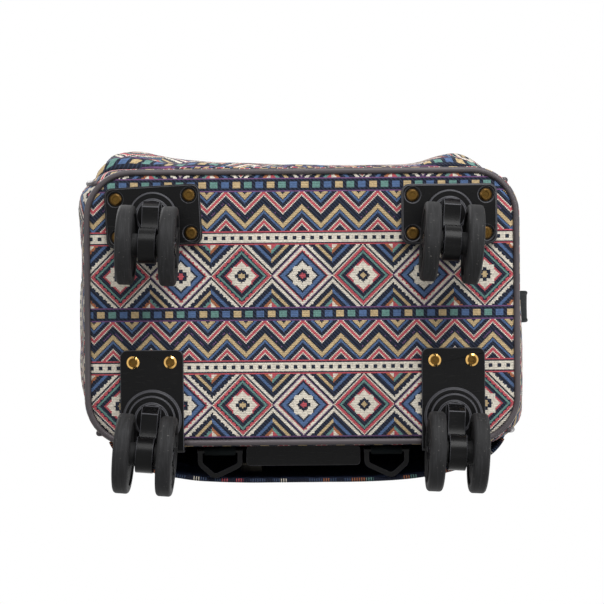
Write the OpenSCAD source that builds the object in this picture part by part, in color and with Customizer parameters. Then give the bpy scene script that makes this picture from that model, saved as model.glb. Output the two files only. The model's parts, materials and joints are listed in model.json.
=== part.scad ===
// Rolling backpack, upright on four twin-wheel casters.
// The floor is z = 0, the front faces -Y, and the base is centred on x = 0, y = 0.
// All sizes are millimetres.

/* [Base] */
// Width of the base across its piping
base_w = 310; // [290:1:340]
// Depth of the base across its piping
base_d = 197; // [185:1:215]
// Corner radius of the base outside its piping
base_r = 34; // [28:1:40]
// Diameter of a piping cord
piping_d = 4.4; // [3.6:0.2:5.2]
// Thickness of the woven base panel
panel_t = 2; // [1.6:0.2:3]
// Thickness of the stiffening boards
board_t = 3; // [2:0.5:4]

/* [Body] */
// Height of the body above the base
body_h = 400; // [370:5:440]
// How far the body stands out past the base on each side
body_lap = 1.5; // [1:0.5:4]
// Thickness of the padded body wall
wall_t = 2.4; // [1.8:0.2:3.2]
// Radius of the long edges round the front and back panels
edge_r = 18; // [15:1:22]
// Radius of the upper corners seen from the front
top_r = 60; // [50:2:70]
// How far the sides bow out at mid height
side_bow = 8; // [2:1:12]

/* [Front pocket] */
// Distance from the pocket to the edge of the flat front
pocket_inset = 1; // [0:1:12]
// Height of the pocket
pocket_h = 226; // [180:2:260]
// Height of the pocket's lower edge above the base
pocket_lift = 14; // [10:1:30]
// How far the pocket stands out
pocket_depth = 21; // [14:1:28]
// Share of the depth that the seam pulls in at the middle of the lower edge
pocket_tuck = 0.8; // [0:0.1:0.9]

/* [Zips] */
// Width of a zip tape
tape_w = 26; // [20:1:32]
// Thickness of a zip tape
tape_t = 0.8; // [0.6:0.1:1.2]
// Width of the closed zip chain
chain_w = 6; // [5:0.5:8]
// Height of the zip chain above the tape
chain_h = 1.2; // [0.8:0.1:1.6]
// Distance from the middle of the gusset forward to the main zip
zip_forward = 34; // [24:1:44]
// Length of a zip pull
pull_len = 28; // [22:1:36]

/* [Strap sleeve] */
// How far the sleeve's mouth stands off the back
sleeve_depth = 25.5; // [24:0.5:30]
// How far the sleeve's top stands off the back
sleeve_top_depth = 19; // [17:1:24]
// Height of the sleeve's mouth above the base
sleeve_lift = 14; // [8:1:24]
// Thickness of the lined sleeve
sleeve_t = 1.6; // [1.2:0.2:2.4]
// Width of a stowed shoulder strap
strap_w = 46; // [36:1:50]
// Thickness of a stowed shoulder strap
strap_t = 7; // [5:0.5:8]
// Distance from the strap rings up to a stowed shoulder strap
strap_drop = 68; // [60:2:100]

/* [Strap rings] */
// Clear width of a strap ring, as a share of the base's width
ring_share = 0.081; // [0.072:0.001:0.084]
// Length of a strap ring from its bar to its tip
ring_len = 17.5; // [15:0.5:18.5]
// Diameter of a strap ring's rod
ring_rod = 3.4; // [2.8:0.2:3.8]
// How far the tip leans outward
ring_lean = 3; // [0:0.5:5]

/* [Casters] */
// Wheel diameter
wheel_d = 55; // [48:1:60]
// Wheel width
wheel_w = 11; // [9:0.5:13]
// Gap between the two wheels of a caster
wheel_gap = 18.4; // [16:0.2:22]
// Distance from the swivel axis back to the axle
trail = 22; // [18:1:26]
// Width of the fork between the wheels
fork_w = 12; // [10:0.5:13]
// Diameter of the barrel round the axle
barrel_d = 25; // [20:1:28]
// Axle diameter
axle_d = 6; // [5:0.5:7]
// King pin diameter
pin_d = 8; // [6:0.5:9]
// Diameter of the swivel disc
disc_d = 34; // [30:1:38]
// Thickness of the swivel disc
disc_t = 3.2; // [2.4:0.2:4]
// Distance of the front swivels from the side of the base
front_side = 50; // [43:1:57]
// Distance of the front swivels from the front of the base
front_edge = 33.5; // [28.5:0.5:40]
// Sideways place of the rear swivels, as a share of the base's width
rear_share = 0.345; // [0.335:0.005:0.36]
// Distance of the rear swivels from the back of the base
rear_edge = 19.5; // [18.5:0.5:22.5]
// Resting swivel angle of the front left caster
yaw_fl = 2.5; // [-180:0.5:180]
// Resting swivel angle of the front right caster
yaw_fr = 4.5; // [-180:0.5:180]
// Resting swivel angle of the rear left caster
yaw_rl = 4.5; // [-180:0.5:180]
// Resting swivel angle of the rear right caster
yaw_rr = 3; // [-180:0.5:180]

/* [Caster mounts] */
// Thickness of a front plate
plate_t = 5; // [4:0.5:6]
// Width of a front plate
plate_w = 68; // [62:1:72]
// Depth of a front plate
plate_d = 43; // [40:1:48]
// Sideways spacing of the front rivets
plate_rivet_x = 52; // [48:1:56]
// Fore and aft spacing of the front rivets
plate_rivet_y = 27; // [25:1:31]
// Turn of the front left plate, which is riveted on askew
plate_turn = -3; // [-4:0.5:4]
// Width of a rear bracket
bracket_w = 45; // [43:1:50]
// Thickness of a rear bracket
bracket_t = 3; // [2.5:0.5:3.5]
// Distance from the swivel forward to the bracket's front edge
bracket_reach = 49; // [44:1:54]
// Height of the bracket's back leg above the base
bracket_leg = 36; // [30:1:44]
// Spacing of the rear rivets
bracket_rivet_x = 26.4; // [24:0.4:30]
// Diameter of the raised collar round a rear swivel
collar_d = 41; // [39:1:44]
// Diameter of a rivet head
rivet_d = 9; // [8:0.5:10]
// Diameter of a rivet shank
shank_d = 4.6; // [4:0.2:5]

/* [Handles] */
// Length of the haul handle
haul_len = 168; // [140:2:180]
// Clear rise of the haul handle
haul_rise = 24; // [18:1:30]
// Length of the side handle
side_len = 160; // [130:2:180]
// Clear rise of the side handle
side_rise = 19; // [14:1:24]
// Width of a handle strap
handle_w = 26; // [22:1:30]
// Thickness of a handle strap
handle_t = 3.6; // [3:0.2:5]

/* [Trolley handle] */
// Width of an outer tube
tube_w = 18; // [17:0.5:19]
// Depth of an outer tube
tube_d = 11; // [10.5:0.5:12]
// Wall of every tube
tube_t = 1; // [0.8:0.1:1.2]
// Sideways place of the tubes, as a share of the base's width
tube_share = 0.097; // [0.09:0.001:0.101]
// Slide of each stage
stage_travel = 255; // [200:5:270]
// Thickness of the grip
grip_d = 19; // [18:1:26]
// Slide of the push button
button_travel = 3; // [2:0.5:4]

/* [Hidden] */
$fn = 48;

vinyl = "#5f595d";
weave = "#39445a";
black = "#1d1d1f";
brass = "#b58a4a";
steel = "#b9bcc0";
web = "#22282a";

// Clearances: running fit on a shaft, close fit, room between cloth pieces, air between moving pieces.
run_fit = 0.05;
close_fit = 0.1;
cloth_gap = 0.3;
run_air = 0.4;
chamfer = 0.8;

// Heights from the floor up.
wheel_air = 2.5;
ring_step = 1.2;
disc_z = wheel_d + wheel_air;
plate_z = disc_z + disc_t + run_air;
base_z = plate_z + plate_t;
board_z = base_z + panel_t;
piping_z = base_z + piping_d / 2 - 1.2;
wall_z = piping_z + piping_d / 2 + cloth_gap;
body_top = base_z + body_h;
shoulder_z = body_top - top_r;

// Plan sizes of the body.
body_w = base_w + 2 * body_lap;
body_d = base_d + 2 * body_lap;
back_y = body_d / 2;
flat_half = body_w / 2 - edge_r;

// Places of the swivel axes, the trolley tubes and the strap rings beside them.
tube_x = tube_share * base_w;
ring_clear = ring_share * base_w;
ring_gap = 0.27 * tube_x;
front_x = base_w / 2 - front_side;
front_y = base_d / 2 - front_edge;
rear_x = rear_share * base_w;
rear_y = base_d / 2 - rear_edge;

// Seam between a panel and the gusset, where a piping lies, half way round the edge.
seam_a = 45;
seam_da = 2 * asin((piping_d / 2 + cloth_gap) / (2 * edge_r));
side_n = 8;
corner_n = 6;
edge_n = 3;

// Mesh helpers

function flat(rows) = [for (r = rows) for (p = r) p];

// Closed solid between an outer and an inner grid of points. A capped sheet is
// filled across its last column, so that it makes a dish.
module sheet(outer, inner, capped = false) {
    rows = len(outer);
    cols = len(outer[0]);
    n = rows * cols;
    function o(r, c) = r * cols + c;
    function i(r, c) = n + r * cols + c;
    skin = [for (r = [0:rows - 2]) for (c = [0:cols - 2]) each [
        [o(r, c), o(r + 1, c), o(r + 1, c + 1)], [o(r, c), o(r + 1, c + 1), o(r, c + 1)],
        [i(r, c), i(r, c + 1), i(r + 1, c + 1)], [i(r, c), i(r + 1, c + 1), i(r + 1, c)]]];
    rim = [for (r = [0:rows - 2]) each [
        [o(r + 1, 0), o(r, 0), i(r, 0)], [o(r + 1, 0), i(r, 0), i(r + 1, 0)]]];
    ends = [for (c = [0:cols - 2]) each [
        [o(0, c), o(0, c + 1), i(0, c + 1)], [o(0, c), i(0, c + 1), i(0, c)],
        [o(rows - 1, c + 1), o(rows - 1, c), i(rows - 1, c)],
        [o(rows - 1, c + 1), i(rows - 1, c), i(rows - 1, c + 1)]]];
    last = cols - 1;
    edge = [for (r = [0:rows - 2]) each [
        [o(r, last), o(r + 1, last), i(r + 1, last)], [o(r, last), i(r + 1, last), i(r, last)]]];
    caps = [
        [for (r = [0:rows - 1]) o(r, last)],
        [for (r = [rows - 1:-1:0]) i(r, last)],
        [o(0, last), o(rows - 1, last), i(rows - 1, last)],
        [o(0, last), i(rows - 1, last), i(0, last)]];
    polyhedron(concat(flat(outer), flat(inner)), concat(skin, rim, ends, capped ? caps : edge));
}

// Round tube along a path that keeps to one value of y.
module tube(path, r, sides = 8) {
    n = len(path);
    rings = [for (k = [0:n - 1])
        let (t = path[min(k + 1, n - 1)] - path[max(k - 1, 0)], u = t / norm(t), v = cross(u, [0, 1, 0]))
        for (s = [0:sides - 1])
            path[k] + r * (cos(360 * s / sides) * v + sin(360 * s / sides) * [0, 1, 0])];
    wall = [for (k = [0:n - 2]) for (s = [0:sides - 1])
        let (a = k * sides + s, b = k * sides + (s + 1) % sides)
        each [[a, a + sides, b + sides], [a, b + sides, b]]];
    polyhedron(rings, concat(wall, [[for (s = [0:sides - 1]) s],
        [for (s = [sides - 1:-1:0]) (n - 1) * sides + s]]));
}

module rounded(w, d, r) {
    square([w - 2 * r, d], center = true);
    square([w, d - 2 * r], center = true);
    for (x = [-1, 1], y = [-1, 1]) translate([x * (w / 2 - r), y * (d / 2 - r)]) circle(r);
}

module stadium(w, d) {
    square([w - d, d], center = true);
    for (x = [-1, 1]) translate([x * (w - d) / 2, 0]) circle(d / 2);
}

// Profile drawn in (y, z), made w thick and centred on x = 0.
module across(w) {
    rotate([90, 0, 90]) linear_extrude(w, center = true) children();
}

// Body shape

function bow_at(t) = side_bow * sin(180 * t);
function side_at(z) = body_w / 2 + bow_at((z - wall_z) / (shoulder_z - wall_z));
function half_line(inset) = concat(
    [for (k = [0:side_n]) let (t = k / side_n)
        [body_w / 2 + bow_at(t) - inset, wall_z + (shoulder_z - wall_z) * t]],
    [for (k = [1:corner_n]) let (a = 90 * k / corner_n)
        [body_w / 2 - top_r + (top_r - inset) * cos(a), shoulder_z + (top_r - inset) * sin(a)]],
    [[0, body_top - inset]]);

// Outline of the body from the lower left, over the top, to the lower right.
function body_line(inset) = let (h = half_line(inset), n = len(h)) concat(
    [for (p = h) [-p[0], p[1]]], [for (k = [n - 2:-1:0]) h[k]]);

// Points on the body at edge angle a, sunk by some depth, on the front (-1) or back (1) half.
function edge_inset(a, sunk) = edge_r - (edge_r - sunk) * cos(a);
function edge_y(a, sunk, side) = side * (body_d / 2 - edge_r + (edge_r - sunk) * sin(a));
function body_grid(cols, sunk) = let (lines = [for (c = cols) body_line(edge_inset(c[0], sunk))])
    [for (r = [0:len(lines[0]) - 1])
        [for (c = [0:len(cols) - 1])
            [lines[c][r][0], edge_y(cols[c][0], sunk, cols[c][1]), lines[c][r][1]]]];

module panel(side) {
    a0 = seam_a + seam_da;
    cols = [for (k = [0:edge_n]) [a0 + (90 - a0) * k / edge_n, side]];
    if (side < 0) sheet(body_grid(cols, 0), body_grid(cols, wall_t), capped = true);
    else mirror([0, 1, 0]) sheet(
        body_grid([for (c = cols) [c[0], -1]], 0), body_grid([for (c = cols) [c[0], -1]], wall_t),
        capped = true);
}

module front_panel() {
    color(weave) panel(-1);
}

module back_panel() {
    color(weave) difference() {
        panel(1);
        rivet_leg_holes(shank_d / 2 + close_fit);
    }
}

module gusset() {
    a1 = seam_a - seam_da;
    turn = [for (k = [0:edge_n - 1]) a1 * (1 - k / (edge_n - 1))];
    cols = concat([for (a = turn) [a, -1]], [for (k = [edge_n - 1:-1:0]) [turn[k], 1]]);
    color(weave) sheet(body_grid(cols, 0), body_grid(cols, wall_t));
}

module edge_piping(side) {
    line = body_line(edge_inset(seam_a, 0));
    color(vinyl) tube([for (p = line) [p[0], edge_y(seam_a, 0, side), p[1]]], piping_d / 2);
}

module front_piping() {
    edge_piping(-1);
}

module back_piping() {
    edge_piping(1);
}

// Base

// Clear width kept where a rear bracket crosses the piping.
bracket_clear = bracket_w + 2 * cloth_gap;

module base_plan(inset) {
    rounded(base_w - 2 * inset, base_d - 2 * inset, base_r - inset);
}

module base_panel() {
    color(weave) difference() {
        translate([0, 0, base_z]) linear_extrude(panel_t) base_plan(piping_d + cloth_gap);
        rivet_base_holes(shank_d / 2 + close_fit);
    }
}

module base_board() {
    color("#2b2b2b") difference() {
        translate([0, 0, board_z]) linear_extrude(board_t) base_plan(piping_d + wall_t + 4);
        rivet_base_holes(shank_d / 2 + close_fit);
    }
}

module base_piping() {
    r = piping_d / 2;
    bend = base_r - r;
    cx = base_w / 2 - base_r;
    cy = base_d / 2 - base_r;
    color(vinyl) difference() {
        translate([0, 0, piping_z]) {
            for (y = [-1, 1]) translate([-cx, y * (cy + bend), 0]) rotate([0, 90, 0]) cylinder(2 * cx, r, r);
            for (x = [-1, 1]) translate([x * (cx + bend), cy, 0]) rotate([90, 0, 0]) cylinder(2 * cy, r, r);
            for (k = [0:3])
                translate([(k == 0 || k == 3 ? 1 : -1) * cx, (k < 2 ? 1 : -1) * cy, 0]) rotate([0, 0, 90 * k])
                    rotate_extrude(angle = 90) translate([bend, 0]) circle(r);
        }
        for (x = [-1, 1]) translate([x * rear_x, base_d / 2, piping_z])
            cube([bracket_clear, 6 * piping_d, 3 * piping_d], center = true);
    }
}

module back_board() {
    w = 2 * flat_half - 8;
    h = body_h - edge_r - (wall_z - base_z) - 34;
    color("#2b2b2b") difference() {
        translate([0, back_y - wall_t - board_t, wall_z + h / 2]) rotate([-90, 0, 0])
            linear_extrude(board_t - close_fit) rounded(w, h, 20);
        rivet_leg_holes(shank_d / 2 + close_fit);
    }
}

// Front pocket, a bellied pouch that is drawn in at the middle of its lower edge

pocket_half = flat_half - pocket_inset;
pocket_mid = base_z + pocket_lift + pocket_h / 2;
pocket_nx = 16;
pocket_nz = 12;

// Grid lines crowd towards the rim, where the pouch turns in.
function crowd(t) = sin(90 * t);
function belly(u, v) = pow(1 - pow(abs(u), 6), 0.5) * pow(1 - pow(abs(v), 6), 0.5);
function tuck(u, v) = 1 - pocket_tuck * exp(-pow(u / 0.52, 4)) * exp(-pow((v + 1) / 0.45, 2));
function pocket_point(u, v, sunk) = let (hx = pocket_half - sunk, hz = pocket_h / 2 - sunk, k = 0.16,
        full = pocket_depth * tuck(u, v))
    [hx * u * sqrt(1 - k * v * v / 2),
    -body_d / 2 - cloth_gap - max(full - sunk, full / 2) * belly(u, v),
    pocket_mid + hz * v * sqrt(1 - k * u * u / 2)];
function pocket_grid(sunk) = [for (r = [0:pocket_nz])
    [for (c = [0:pocket_nx])
        pocket_point(crowd(2 * c / pocket_nx - 1), crowd(2 * r / pocket_nz - 1), sunk)]];

module front_pocket() {
    color(weave) sheet(pocket_grid(sleeve_t), pocket_grid(0));
}

// Zips

main_zip_y = -zip_forward;
zip_top = body_top + close_fit + tape_t + chain_h;
zip_skip = 2;

module main_zip() {
    steps = [[-tape_w / 2, 0], [-chain_w / 2, 0], [-chain_w / 2 + 0.8, chain_h],
        [chain_w / 2 - 0.8, chain_h], [chain_w / 2, 0], [tape_w / 2, 0]];
    lines = [for (s = steps) body_line(-close_fit - tape_t - s[1])];
    seat = body_line(-close_fit);
    rows = [zip_skip:len(seat) - 1 - zip_skip];
    color(black) sheet(
        [for (r = rows) [for (c = [0:len(steps) - 1]) [lines[c][r][0], main_zip_y + steps[c][0], lines[c][r][1]]]],
        [for (r = rows) [for (c = [0:len(steps) - 1]) [seat[r][0], main_zip_y + steps[c][0], seat[r][1]]]]);
}

slider_len = 12;
slider_w = 9;
slider_t = 2.4;
bail_w = 2;
bail_t = 1.2;
eye_d = 1.6;
pull_w = 7;
pull_t = 1.4;
eye_z = slider_t + close_fit + eye_d / 2 + 0.2;

// Slider with its bail, running along x, seated at z = 0.
module slider() {
    color(steel) {
        translate([-slider_len / 2, 0, 0]) linear_extrude(slider_t) hull() {
            translate([2, 0]) square([4, slider_w], center = true);
            translate([slider_len - 1.5, 0]) square([3, slider_w * 0.62], center = true);
        }
        across_bail();
    }
}

module across_bail() {
    span = 5.2;
    h = eye_d + 0.6 + bail_t;
    translate([0, 0, slider_t]) difference() {
        translate([-span / 2, -bail_w / 2, 0]) cube([span, bail_w, h]);
        translate([-span / 2 + bail_t, -bail_w, -1]) cube([span - 2 * bail_t, 2 * bail_w, h - bail_t + 1]);
    }
}

// Pull in its resting place, lying along +x from the eye bar on the y axis.
module pull() {
    arm = pull_w / 2 - 1;
    color(steel) {
        rotate([90, 0, 0]) cylinder(pull_w, eye_d / 2, eye_d / 2, center = true, $fn = 24);
        for (s = [-1, 1]) translate([0, s * arm - 1, -pull_t / 2]) cube([8, 2, pull_t]);
        translate([6, -pull_w / 2, -pull_t / 2]) cube([pull_len - 6 - pull_w / 2, pull_w, pull_t]);
        translate([pull_len - pull_w / 2, 0, -pull_t / 2]) cylinder(pull_t, pull_w / 2, pull_w / 2);
    }
}

slider_rest = slider_len / 2 + 1;

module main_slider_left() {
    translate([-slider_rest, main_zip_y, zip_top + close_fit]) rotate([0, 0, 180]) slider();
}

module main_slider_right() {
    translate([slider_rest, main_zip_y, zip_top + close_fit]) slider();
}

module main_pull_left() {
    translate([-slider_rest, main_zip_y, zip_top + close_fit + eye_z]) rotate([0, 0, 180]) pull();
}

module main_pull_right() {
    translate([slider_rest, main_zip_y, zip_top + close_fit + eye_z]) pull();
}

// The pocket zip lies on the front panel just above the pocket.
pocket_zip_half = pocket_half - 22;
pocket_zip_z = pocket_mid + pocket_h / 2 + tape_w / 2 + cloth_gap;
pocket_zip_y = -body_d / 2 - close_fit;

module pocket_zip() {
    c = chain_w / 2;
    color(black) translate([0, pocket_zip_y, pocket_zip_z]) rotate([0, -90, 0])
        linear_extrude(2 * pocket_zip_half, center = true)
            polygon([[-tape_w / 2, 0], [tape_w / 2, 0], [tape_w / 2, -tape_t], [c, -tape_t],
                [c - 0.8, -tape_t - chain_h], [-c + 0.8, -tape_t - chain_h], [-c, -tape_t], [-tape_w / 2, -tape_t]]);
}

pocket_slider_x = pocket_zip_half - slider_len;

// Turns a part seated on a level face so that it sits on the front panel.
module on_front() {
    translate([pocket_slider_x, pocket_zip_y - tape_t - chain_h - close_fit, pocket_zip_z]) rotate([90, 0, 0])
        rotate([0, 0, 180]) children();
}

module pocket_slider() {
    on_front() slider();
}

module pocket_pull() {
    on_front() translate([0, 0, eye_z]) pull();
}

// Strap sleeve on the back

sleeve_half = flat_half + side_bow;
sleeve_y = back_y + cloth_gap;
sleeve_z = base_z + sleeve_lift;
sleeve_top_z = body_top - edge_r - 24;
sleeve_nx = 20;
sleeve_nz = 4;

function sleeve_amp(z) = sleeve_depth
    + (sleeve_top_depth - sleeve_depth) * (z - sleeve_z) / (sleeve_top_z - sleeve_z);
function sleeve_out(x, z) = sleeve_y + sleeve_amp(z) * (1 - pow(abs(x) / sleeve_half, 4));
function sleeve_in(x, z) = sleeve_y
    + (sleeve_amp(z) - sleeve_t) * (1 - pow(min(1, abs(x) / (sleeve_half - sleeve_t)), 4));
function sleeve_grid(inner) = [for (r = [0:sleeve_nz])
    let (z = sleeve_z + (sleeve_top_z - sleeve_z) * r / sleeve_nz)
    [for (c = [0:sleeve_nx]) let (u = crowd(2 * c / sleeve_nx - 1))
        inner ? [u * (sleeve_half - sleeve_t), sleeve_in(u * (sleeve_half - sleeve_t), z), z]
            : [u * sleeve_half, sleeve_out(u * sleeve_half, z), z]]];

module strap_sleeve() {
    color(weave) sheet(sleeve_grid(true), sleeve_grid(false));
}

// Height of the strap rings above the base.
ring_lift = 12;

// Gathered top of the sleeve, with a hole round each tube.
module sleeve_top() {
    z = sleeve_top_z;
    color(weave) difference() {
        translate([0, 0, z + close_fit]) linear_extrude(sleeve_t) polygon([for (c = [0:sleeve_nx])
            let (x = sleeve_half * crowd(2 * c / sleeve_nx - 1)) [x, sleeve_out(x, z)]]);
        for (s = [-1, 1]) translate([s * tube_x, tube_y, z - 1]) linear_extrude(3 + sleeve_t)
            stadium(tube_w + 2 * cloth_gap, tube_d + 2 * cloth_gap);
    }
}

strap_z = base_z + ring_lift + strap_drop;
strap_len = sleeve_top_z - 8 - strap_z;
strap_x = tube_x + tube_w / 2 + 3 + strap_w / 2;

module shoulder_strap(side) {
    color(web) translate([side * strap_x, back_y + cloth_gap, strap_z + strap_len / 2]) rotate([-90, 0, 0])
        linear_extrude(strap_t) rounded(strap_w, strap_len, 16);
}

module shoulder_strap_left() {
    shoulder_strap(-1);
}

module shoulder_strap_right() {
    shoulder_strap(1);
}

// Loose webbing end that hangs down inside the sleeve from its lining.
tail_w = 15;
tail_t = 1.6;
tail_x = -tube_x - 8;
tail_len = 66;
tail_bend = 22;
tail_lift = 4;

module strap_tail() {
    tip = sleeve_z + tail_lift;
    bend = tip + tail_bend;
    top = tip + tail_len;
    y1 = sleeve_in(tail_x, top) - cloth_gap;
    y2 = sleeve_in(tail_x, bend) - cloth_gap - tail_t;
    y3 = max(y2 - 5 * tail_t, tube_y + tube_d / 2 + foot_wall + cloth_gap + tail_t);
    color(web) translate([tail_x, 0, 0]) across(tail_w) polygon([
        [y1, top], [y2, bend], [y3, tip], [y3 - tail_t, tip + tail_t * 0.4], [y2 - tail_t, bend + tail_t * 0.4],
        [y1 - tail_t, top]]);
}

// Strap rings at the mouth of the sleeve

loop_t = 1.4;
ring_r = ring_rod / 2;
ring_x = tube_x + tube_w / 2 + ring_gap + ring_clear / 2;
loop_r = ring_r + close_fit + loop_t;
ring_y = back_y + close_fit + loop_r;
ring_z = base_z + ring_lift;
loop_w = ring_clear - 3;
loop_tail = 30;

ring_flat = ring_rod - 0.4;

// Outline of a ring's outside, with its bar on the x axis and its rounded tip towards +y.
module shield(side) {
    h = (ring_clear + ring_rod) / 2;
    turn = ring_r + 4;
    tip = ring_r + 5;
    hull() {
        for (s = [-1, 1]) translate([s * h, 0]) circle(ring_r, $fn = 24);
        for (s = [-1, 1]) translate([s * (h + ring_r - turn), ring_len * 0.42]) circle(turn, $fn = 32);
        translate([side * ring_lean, ring_len + ring_r - tip]) circle(tip, $fn = 32);
    }
}

// Shield-shaped ring lying level. Its bar is round, and the rest is a flat moulding.
module strap_ring(side) {
    h = (ring_clear + ring_rod) / 2;
    color(black) translate([side * ring_x, ring_y, ring_z]) {
        rotate([0, 90, 0]) cylinder(2 * h + ring_rod + 0.6, ring_r, ring_r, center = true);
        linear_extrude(ring_flat, center = true) difference() {
            shield(side);
            translate([0, -1.5 * ring_rod]) square([2 * h + 3 * ring_rod, 3 * ring_rod], center = true);
            for (y = [0, ring_len * 0.3]) translate([0, -y]) offset(delta = -ring_rod) shield(side);
        }
        for (s = [-1, 1]) translate([s * h - ring_r, 0, -ring_flat / 2]) cube([ring_rod, ring_len * 0.42, ring_flat]);
    }
}

module strap_ring_left() {
    strap_ring(-1);
}

module strap_ring_right() {
    strap_ring(1);
}

// Webbing folded round each ring's bar, with both tails sewn flat to the back.
module ring_loops() {
    color(web) for (s = [-1, 1]) translate([s * ring_x, ring_y, ring_z]) difference() {
        union() {
            rotate([0, 90, 0]) cylinder(loop_w, loop_r, loop_r, center = true);
            translate([-loop_w / 2, -loop_r, 0]) cube([loop_w, loop_t, loop_tail]);
        }
        rotate([0, 90, 0]) cylinder(loop_w + 2, ring_r + close_fit, ring_r + close_fit, center = true);
    }
}

// Handles

handle_n = 20;
handle_foot = 22;

// Rise of a handle along its length, flat on the cloth at each end.
function arch(s, len, rise) = let (run = len / 2 - handle_foot)
    abs(s) >= run ? 0 : rise * (1 + cos(180 * s / run)) / 2;
function handle_s(k, len) = len * (k / handle_n - 0.5);

module haul_handle() {
    z = body_top + close_fit;
    low = [for (k = [0:handle_n]) let (s = handle_s(k, haul_len)) [s, z + arch(s, haul_len, haul_rise)]];
    high = [for (k = [handle_n:-1:0]) low[k] + [0, handle_t]];
    color(web) translate([0, haul_y, 0]) rotate([90, 0, 0]) linear_extrude(handle_w, center = true)
        polygon(concat(low, high));
}

haul_y = 24;

side_mid = base_z + body_h / 2;
side_y = 2;

module side_handle() {
    low = [for (k = [0:handle_n]) let (s = handle_s(k, side_len))
        [side_at(side_mid + s) + close_fit + arch(s, side_len, side_rise), side_mid + s]];
    high = [for (k = [handle_n:-1:0]) low[k] + [handle_t, 0]];
    color(web) translate([0, side_y, 0]) rotate([90, 0, 0]) linear_extrude(handle_w, center = true)
        polygon(concat(low, high));
}

// Trolley handle, carried on the back inside the sleeve

button_w = 26;
button_d = 10;
yoke_h = 4;
yoke_d = 6;
rod_d = 2.2;
tube_y = back_y + 1.5 + tube_d / 2;
tube_air = run_air;
step = 2 * (tube_t + tube_air);
foot_z = sleeve_z + 2;
foot_h = 34;
foot_floor = 6;
foot_wall = 2;
outer_z = foot_z + foot_floor;
bracket_h = 16;
bracket_z = sleeve_top_z + sleeve_t + 2 * close_fit;
outer_top = bracket_z + bracket_h - 4;
middle_z = outer_z + 3;
middle_top = bracket_z + bracket_h + 3;
inner_z = middle_z + 3;
grip_z = middle_top + 3 + grip_d / 2;
inner_top = grip_z - button_travel / 2 - yoke_h / 2 - run_air;
grip_off = max(0, back_y + 2 * cloth_gap + grip_d / 2 - tube_y);
guide_fit = 0.2;

module tube_pair(w, d, z0, z1) {
    color(steel) for (s = [-1, 1]) translate([s * tube_x, tube_y, z0]) linear_extrude(z1 - z0) difference() {
        stadium(w, d);
        stadium(w - 2 * tube_t, d - 2 * tube_t);
    }
}

module outer_tubes() {
    tube_pair(tube_w, tube_d, outer_z, outer_top);
}

module middle_tubes() {
    tube_pair(tube_w - step, tube_d - step, middle_z, middle_top);
}

module inner_tubes() {
    tube_pair(tube_w - 2 * step, tube_d - 2 * step, inner_z, inner_top);
}

module trolley_block(z, h, wall) {
    w = 2 * tube_x + tube_w + 2 * wall;
    d = tube_y + tube_d / 2 + wall - back_y - close_fit;
    translate([0, back_y + close_fit + d / 2, z]) linear_extrude(h) rounded(w, d, 3);
}

module trolley_foot() {
    color(black) difference() {
        trolley_block(foot_z, foot_h, foot_wall);
        for (s = [-1, 1]) translate([s * tube_x, tube_y, outer_z]) linear_extrude(foot_h)
            stadium(tube_w + 2 * close_fit, tube_d + 2 * close_fit);
    }
}

// Collar at the top of the outer tubes. Its mouth guides the middle tubes.
module trolley_bracket() {
    color(black) difference() {
        trolley_block(bracket_z, bracket_h, foot_wall);
        for (s = [-1, 1]) translate([s * tube_x, tube_y, bracket_z - 1]) {
            linear_extrude(outer_top - bracket_z + 1 + close_fit)
                stadium(tube_w + 2 * close_fit, tube_d + 2 * close_fit);
            linear_extrude(bracket_h + 2)
                stadium(tube_w - step + 2 * guide_fit, tube_d - step + 2 * guide_fit);
        }
    }
}

module trolley_grip() {
    half = tube_x + tube_w / 2;
    color(black) translate([0, tube_y, grip_z]) difference() {
        translate([0, grip_off, 0]) {
            rotate([0, 90, 0]) cylinder(2 * half, grip_d / 2, grip_d / 2, center = true);
            for (s = [-1, 1]) translate([s * half, 0, 0]) sphere(grip_d / 2);
        }
        for (s = [-1, 1]) translate([s * tube_x, 0, -grip_d])
            linear_extrude(grip_d + inner_top - grip_z + close_fit)
                stadium(tube_w - 2 * step + 2 * close_fit, tube_d - 2 * step + 2 * close_fit);
        cube([2 * tube_x + 12, yoke_d + 1, yoke_h + 2 * button_travel], center = true);
        translate([0, grip_off, -button_travel]) linear_extrude(grip_d + button_travel)
            stadium(button_w + 2 * guide_fit, button_d + 2 * guide_fit);
    }
}

// Push button on its yoke, which bears on the two lock rods.
module trolley_button() {
    color("#3a3a3d") translate([0, tube_y, grip_z + button_travel / 2]) {
        translate([0, grip_off, 0]) linear_extrude(grip_d / 2 - button_travel / 2 + 1.5)
            stadium(button_w, button_d);
        cube([2 * tube_x + 8, yoke_d, yoke_h], center = true);
    }
}

module lock_rods() {
    z1 = grip_z + button_travel / 2 - yoke_h / 2;
    color(steel) for (s = [-1, 1]) translate([s * tube_x, tube_y, inner_z + 6])
        cylinder(z1 - inner_z - 6, rod_d / 2, rod_d / 2, $fn = 24);
}

// Caster mounts

function plate_angle(s) = s < 0 ? plate_turn : 0;
function plate_rivets(s) = let (c = cos(plate_angle(s)) / 2, d = sin(plate_angle(s)) / 2)
    [for (x = [-plate_rivet_x, plate_rivet_x]) for (y = [-plate_rivet_y, plate_rivet_y])
        [s * front_x + x * c - y * d, -front_y + x * d + y * c]];
bracket_rivet_y = rear_y - bracket_reach + 8.7;
function bracket_rivets(s) = [for (x = [-1, 1]) [s * rear_x + x * bracket_rivet_x / 2, bracket_rivet_y]];
leg_rivet_z = base_z + bracket_leg - 8.7;
leg_y = back_y + close_fit;
counterbore = 2.2;
head_t = 1.6;

module rivet_base_holes(r) {
    for (s = [-1, 1]) for (p = concat(plate_rivets(s), bracket_rivets(s)))
        translate([p[0], p[1], plate_z - 1]) cylinder(base_z - plate_z + panel_t + board_t + 3, r, r);
}

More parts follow.
